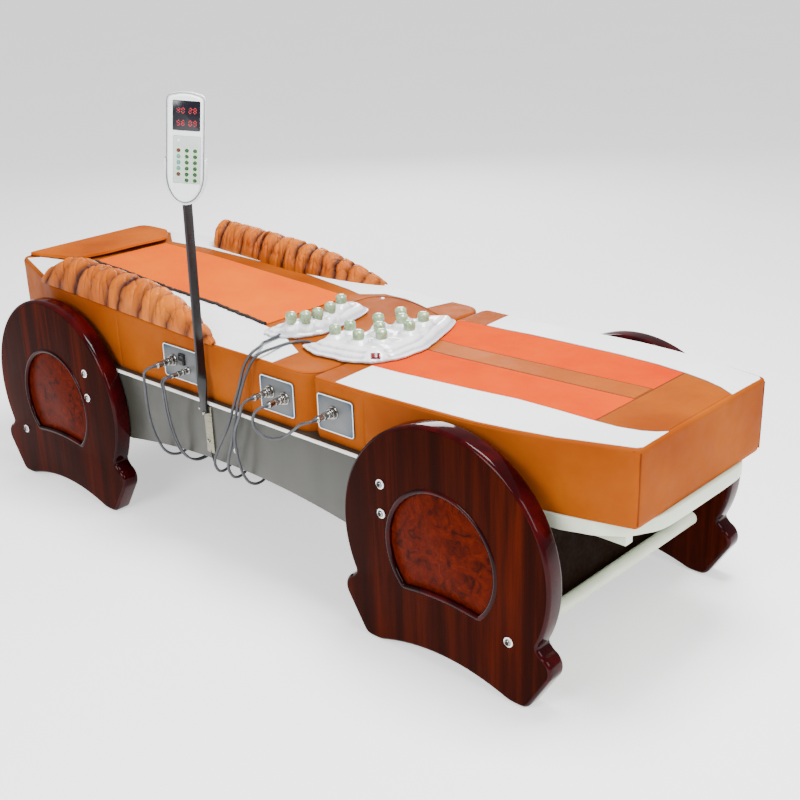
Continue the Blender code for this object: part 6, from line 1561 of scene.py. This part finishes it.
def leg(end, x, inward, side):
    name = end + ("_near" if side < 0 else "_far")
    node = "leg_" + name
    place = side_place(x, side, LEG_INNER_Y)
    work = prism(leg_outline(), LEG_THICKNESS, place, 0.0105, 5, True)
    piece = keep("leg_panel_" + name, work, "frame", ["dark_wood", "cherry_edge"], [node], 40)
    carve(piece, prism(inlay_outline(0.0), 0.02, place @ moved(0.0, 0.0, INLAY_FLOOR)))
    for polygon in piece.data.polygons:
        polygon.material_index = 0 if abs(polygon.normal.y) > 0.985 else 1
    piece.data.shade_smooth()
    piece.data.set_sharp_from_angle(angle=math.radians(35))
    bead = [(*point, 0.0) for point in softened(inlay_outline(-0.0012), 0.006)]
    work = placed(round_line("bead", bead, 0.0062, True, 12), place @ moved(0.0, 0.0, BEAD_LEVEL))
    keep("leg_bead_" + name, work, "frame", "cherry_edge", [node], 60)
    work = prism(inlay_outline(0.0002), 0.003, place @ moved(0.0, 0.0, INLAY_FLOOR + 0.0002), 0.0008)
    keep("burl_inlay_" + name, work, "frame", "burl", ["inlay_" + name])
    drawn = -inward * side
    bolts = [(drawn * RAIL_BOLT_DROP, up) for up in RAIL_BOLT_HEIGHTS] + [(-drawn * TUBE_BOLT_REACH, TUBE_HEIGHT)]
    spots = [place @ moved(*bolt, BOLT_LEVEL) for bolt in bolts]
    for part, finish_key, smooth, turns, profile in BOLT_PARTS:
        keep(part + name, turned_at(spots, profile, turns), "frame", finish_key,
             ["rail_" + name.split("_")[1]], smooth)


# Rails, tubes and tray

def rail_outline(inset):
    head, foot = -0.7954 + inset, 0.7514 - inset
    points = [(head, 0.3715 - inset), (head, 0.2 + inset)]
    points += [(-0.022 + 0.39 * (i / 20 - 1), 0.2 + inset + 0.035 * (1 - (i / 20 - 1) ** 2)) for i in range(41)]
    return points + [(foot, 0.2 + inset), (foot, 0.3715 - inset)]


def rail(name, side):
    """A pressed channel with a broad rolled top edge, open towards the drive space."""
    low, hollow_low = (-0.2617, -0.2607) if side < 0 else (0.2997, 0.2967)
    work = prism(rail_outline(0.0), RAIL_DEPTH, facing_near(0.0, low, 0.0))
    top = [e for e in work.edges if all(v.co.z > 0.3714 and abs(v.co.y) > 0.2995 for v in e.verts)]
    bevelled(work, top, 0.0075, 6, False)
    foot = [e for e in work.edges if all(v.co.z < 0.24 and abs(v.co.y) > 0.2995 for v in e.verts)]
    bevelled(work, foot, 0.0022, 2, False)
    piece = keep(name + "_channel", work, "frame", "grey_metal", [name], 50)
    carve(piece, prism(rail_outline(RAIL_WALL), 0.036, facing_near(0.0, hollow_low, 0.0)))
    # Painted highlight: the sloping faces of the rolled top edge take near-white paint.
    piece.data.materials.append(FINISHES["rolled_edge_highlight"])
    for polygon in piece.data.polygons:
        rolled = 0.3 < polygon.normal.z < 0.95 and polygon.center.z > 0.362
        polygon.material_index = 1 if rolled else 0


def cross_tube(name, x):
    place = moved(x, 0.0, TUBE_HEIGHT) @ spun(90, "X")
    profile = mm((0, 299.7), (13.6, 299.7), (15, 298.3), (15, 293), (14.6, 292.5))
    profile += [(radius, -height) for radius, height in reversed(profile)]
    keep(name + "_bar", turned(profile, place, 40), "frame", "ivory_enamel", [name], 40)


def foot_tray():
    """The enamelled pan under the foot section: a slab with rounded edges, narrowing to a rounded nose."""
    across = ((0.0, 1.0), (0.25, 0.93), (0.5, 0.815), (0.75, 0.62), (0.9, 0.5), (1.0, 0.2))
    side = [(0.239, 0.2587)]
    for i in range(25):
        along = i / 24
        after = next(k for k in range(1, 6) if across[k][0] >= along)
        (a, p), (b, q) = across[after - 1], across[after]
        share = eased(along, a, b) * 0.4 + 0.6 * (along - a) / (b - a)
        side.append((0.978 - 0.155 * (1 - math.sin(along * math.pi / 2)), 0.2587 * (p + (q - p) * share)))
    outline = softened(side + [(x, -y) for x, y in reversed(side)], 0.03, 5.0)
    work = prism(outline, 0.0297, moved(0.0, 0.0, 0.3415), 0.0028, 3, True)
    keep("foot_tray_pan", work, "foot_section", "ivory_enamel", ["foot_tray"], 40)


def rail_fittings():
    """Two small cable clips and the white-ringed eyelet on the near rail."""
    nodes = ["rail_near"]
    clip = mm((0, 0), (4, 0), (4, 0.9), (3, 1.8), (1.4, 2.4), (0, 2.5))
    places = [facing_near(x, RAIL_FACE_Y, z) for x, z in ((-0.009, 0.36), (-0.0125, 0.341))]
    keep("lead_clips", turned_at(places, clip, 16), "frame", "chrome", nodes)
    place = facing_near(-0.0147, RAIL_FACE_Y, 0.2766)
    ring = mm((3.4, 0), (6.8, 0), (6.8, 1), (5.8, 2.2), (4.2, 2.2), (3.4, 1.2), (3.4, 0))
    keep("eyelet_ring", turned(ring, place, 28), "frame", "plate_border", nodes)
    # Painted shade: a dark disc stands for the depth of the eyelet's hole.
    eye = mm((0, 0.8), (3.5, 0.8), (3.5, 0), (0, 0))
    keep("eyelet_hole_shade", turned(eye, place, 20), "frame", "dark_metal", nodes)


# Pole

def pole():
    """A flat bar with a smooth quarter twist above the rail, screwed to it by a steel foot plate."""
    about = moved(-0.107, -0.3065, 0.3715) @ spun(POLE_LEAN, "Y")
    nodes = ["pole"]
    last_height, last_turn = -0.0235, 0.0
    work = bmesh.new()
    face = face_of(work, rounded_rectangle(0.0, 0.0, 0.022, 0.007, 0.0016, 3), last_height)
    levels = [(-0.006, 0.0)] + [(0.0005 + 0.09 * i / 24, i / 24) for i in range(25)]
    for height, turn in levels + [(0.2, 1.0), (0.4706, 1.0)]:
        grown = bmesh.ops.extrude_face_region(work, geom=[face])
        face = [item for item in grown["geom"] if isinstance(item, bmesh.types.BMFace)][0]
        twist = eased(turn, 0.0, 1.0) * math.pi / 2
        bmesh.ops.rotate(work, verts=verts_in(grown), cent=(0.0, 0.0, 0.0),
                         matrix=Matrix.Rotation(twist - last_turn, 3, "Z"))
        bmesh.ops.translate(work, verts=verts_in(grown), vec=(0.0, 0.0, height - last_height))
        last_height, last_turn = height, twist
    keep("pole_bar", placed(outward(work), about), "frame", "pole_enamel", nodes, 50)
    spigot = mm((0, 470), (4.6, 470), (4.6, 524), (3.8, 525), (0, 525))
    keep("pole_spigot", turned(spigot, about, 20), "frame", "chrome", nodes)
    work = prism(rounded_rectangle(-0.101, 0.306, 0.026, 0.112, 0.003, 3), 0.0032,
                 facing_near(0.0, -0.3, 0.0), 0.0008)
    absorb(work, box_between((-0.1225, -0.303, 0.352), (-0.101, -0.3, 0.358), None, 0.0006))
    keep("pole_foot_plate", work, "frame", "bracket_steel", nodes)
    work = bmesh.new()
    for z, reach in ((0.278, 0.003), (0.348, 0.0098)):
        head = ((0.0, reach - 0.0024), (0.0042, reach - 0.0024), (0.0042, reach - 0.0014), (0.0034, reach + 0.0002),
                (0.0018, reach + 0.0008), (0.0, reach + 0.001))
        absorb(work, turned(head, facing_near(-0.1045, -0.303, z), 18))
    side_screw = mm((0, -2), (3, -2), (3, 5.6), (2.2, 6.2), (0, 6.4))
    absorb(work, turned(side_screw, facing_near(-0.1225, -0.303, 0.355), 14))
    keep("pole_screws", work, "frame", "chrome", nodes)
    tail = [Vector(point) for point in mm(
        (-101, -302, 256), (-99.5, -302.2, 246), (-97.5, -302, 236), (-96, -301.6, 229))]
    keep("pole_earth_tail", round_line("tail", tail, 0.0018, False, 8), "frame", "dark_metal", nodes)


for end, leg_x, inward in LEG_SPOTS:
    for side in (-1, 1):
        leg(end, leg_x, inward, side)
rail("rail_near", -1)
rail("rail_far", 1)
cross_tube("cross_tube_head", -0.829)
cross_tube("cross_tube_foot", 0.785)
foot_tray()
rail_fittings()
pole()


# Seam lines

def seam_line(name, outline, body, finish_key, lift, radius):
    """Thread and edge roll along a seam on the top of the bed."""
    flat = []
    for (x0, y0), (x1, y1) in zip(outline, outline[1:]):
        count = max(2, round(math.hypot(x1 - x0, y1 - y0) / 0.012))
        flat += [(x0 + (x1 - x0) * i / count, y0 + (y1 - y0) * i / count) for i in range(count)]
    points = [Vector((x, y, skin(x, y) + lift)) for x, y in flat + [outline[-1]]]
    keep(name, round_line(name, points, radius, False, 6), body, finish_key)


def corner_cord(name, x, y, low, high, lean):
    points = [Vector((x + lean * i / 12, y, low + (high - low) * i / 12)) for i in range(13)]
    keep(name, round_line(name, points, 0.0015, False, 8), "foot_section", "piping_leather",
         ["foot_mattress"])


def build_seams():
    for name, outline, lift, radius in (
            ("flap_arc_seam", SEAM_FLAP[2:11], 0.0006, 0.001), ("flap_near_seam", SEAM_FLAP[11:15], 0.0006, 0.001),
            ("cloth_far_seam", MAIN_CLOTH[7:12], 0.0012, 0.0011)):
        seam_line(name, outline, "frame", "seam_thread", lift, radius)
    for name, outline in (("far_white_seam", FAR_WHITE[2:14]), ("near_white_seam", NEAR_WHITE[6:9]),
                          ("head_white_seam", HEAD_WHITE[0:4])):
        seam_line(name, outline, "frame", "white_seam", 0.0004, 0.0009)
    for name, outline in (("near_stripe_seam", NEAR_FOOT_WHITE[0:10]), ("far_stripe_seam", FAR_FOOT_WHITE[0:9]),
                          ("near_stripe_start", (NEAR_FOOT_WHITE[-1], NEAR_FOOT_WHITE[0])),
                          ("far_stripe_start", (FAR_FOOT_WHITE[-1], FAR_FOOT_WHITE[0]))):
        seam_line(name, outline, "foot_section", "white_seam", 0.0005, 0.0009)
    for name, outline in (("strip_near_seam", MIDDLE_STRIP[0:2]), ("strip_far_seam", MIDDLE_STRIP[2:4]),
                          ("end_panel_seam", ((0.8325, -0.152), (0.8325, 0.154)))):
        seam_line(name, outline, "foot_section", "seam_thread", 0.0002, 0.001)
    for side, mark in ((-1, "near"), (1, "far")):
        corner_cord("foot_corner_" + mark, 0.9695, side * 0.2175, 0.377, 0.517, 0.001)


build_seams()


# The solids that stay, with their finishes

CAD_FINISHES = {
    "runner_frame": "ivory_enamel", "end_board_head": "bottom_board", "end_board_foot": "bottom_board",
    "base_pan": "bottom_board", "drive_motor": "black_plastic", "control_box": "black_plastic",
    "guide_frame": "steel", "lead_screw": "steel", "carriage": "steel", "lift_yoke": "steel",
    "rollers_front": "jade", "rollers_rear": "jade",
}


def dress_solids():
    for name, key in CAD_FINISHES.items():
        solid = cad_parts[name]
        solid.data.materials.clear()
        solid.data.materials.append(FINISHES[key])


dress_solids()


# Studio

def studio():
    floor = bmesh.new()
    bmesh.ops.create_grid(floor, x_segments=2, y_segments=2, size=40.0)
    mesh = bpy.data.meshes.new("studio_floor")
    floor.to_mesh(mesh)
    floor.free()
    paint = finish("studio_floor", 0.8, Specular_IOR_Level=0.1)
    shader = paint.node_tree.nodes["Principled BSDF"]
    shader.inputs["Emission Color"].default_value = (1.0, 1.0, 1.0, 1.0)
    shader.inputs["Emission Strength"].default_value = 0.8
    drift = clouds(paint, place_of(paint), 1.2, 2.0)
    wear(paint, mixed(paint, spread(paint, drift, 0.3, 0.7), srgb(244, 244, 244), srgb(250, 250, 250)))
    mesh.materials.append(paint)
    ground = linked("studio_floor", mesh)
    ground.location.z = -0.0005
    world = bpy.data.worlds.new("studio")
    world.use_nodes = True
    world.node_tree.nodes["Background"].inputs["Color"].default_value = (1.0, 1.0, 1.0, 1.0)
    world.node_tree.nodes["Background"].inputs["Strength"].default_value = 0.58
    bpy.context.scene.world = world
    lamps = (
        ("overhead", (0.7, 0.3, 3.2), (0.0, 0.0, 0.3), 1.2, 190.0),
        ("back_window", (-2.6, 3.0, 1.9), (0.1, 0.0, 0.4), 1.2, 60.0),
        ("near_fill", (0.6, -3.6, 2.2), (0.0, 0.0, 0.3), 1.6, 125.0),
        ("end_fill", (3.4, -0.6, 2.0), (0.5, 0.0, 0.3), 1.4, 75.0),
    )
    for name, place, aim, size, power in lamps:
        light = bpy.data.lights.new(name, "AREA")
        light.size = size
        light.energy = power
        lamp = linked(name, light)
        lamp.location = place
        lamp.rotation_mode = "QUATERNION"
        lamp.rotation_quaternion = (Vector(aim) - Vector(place)).to_track_quat("-Z", "Y")


studio()
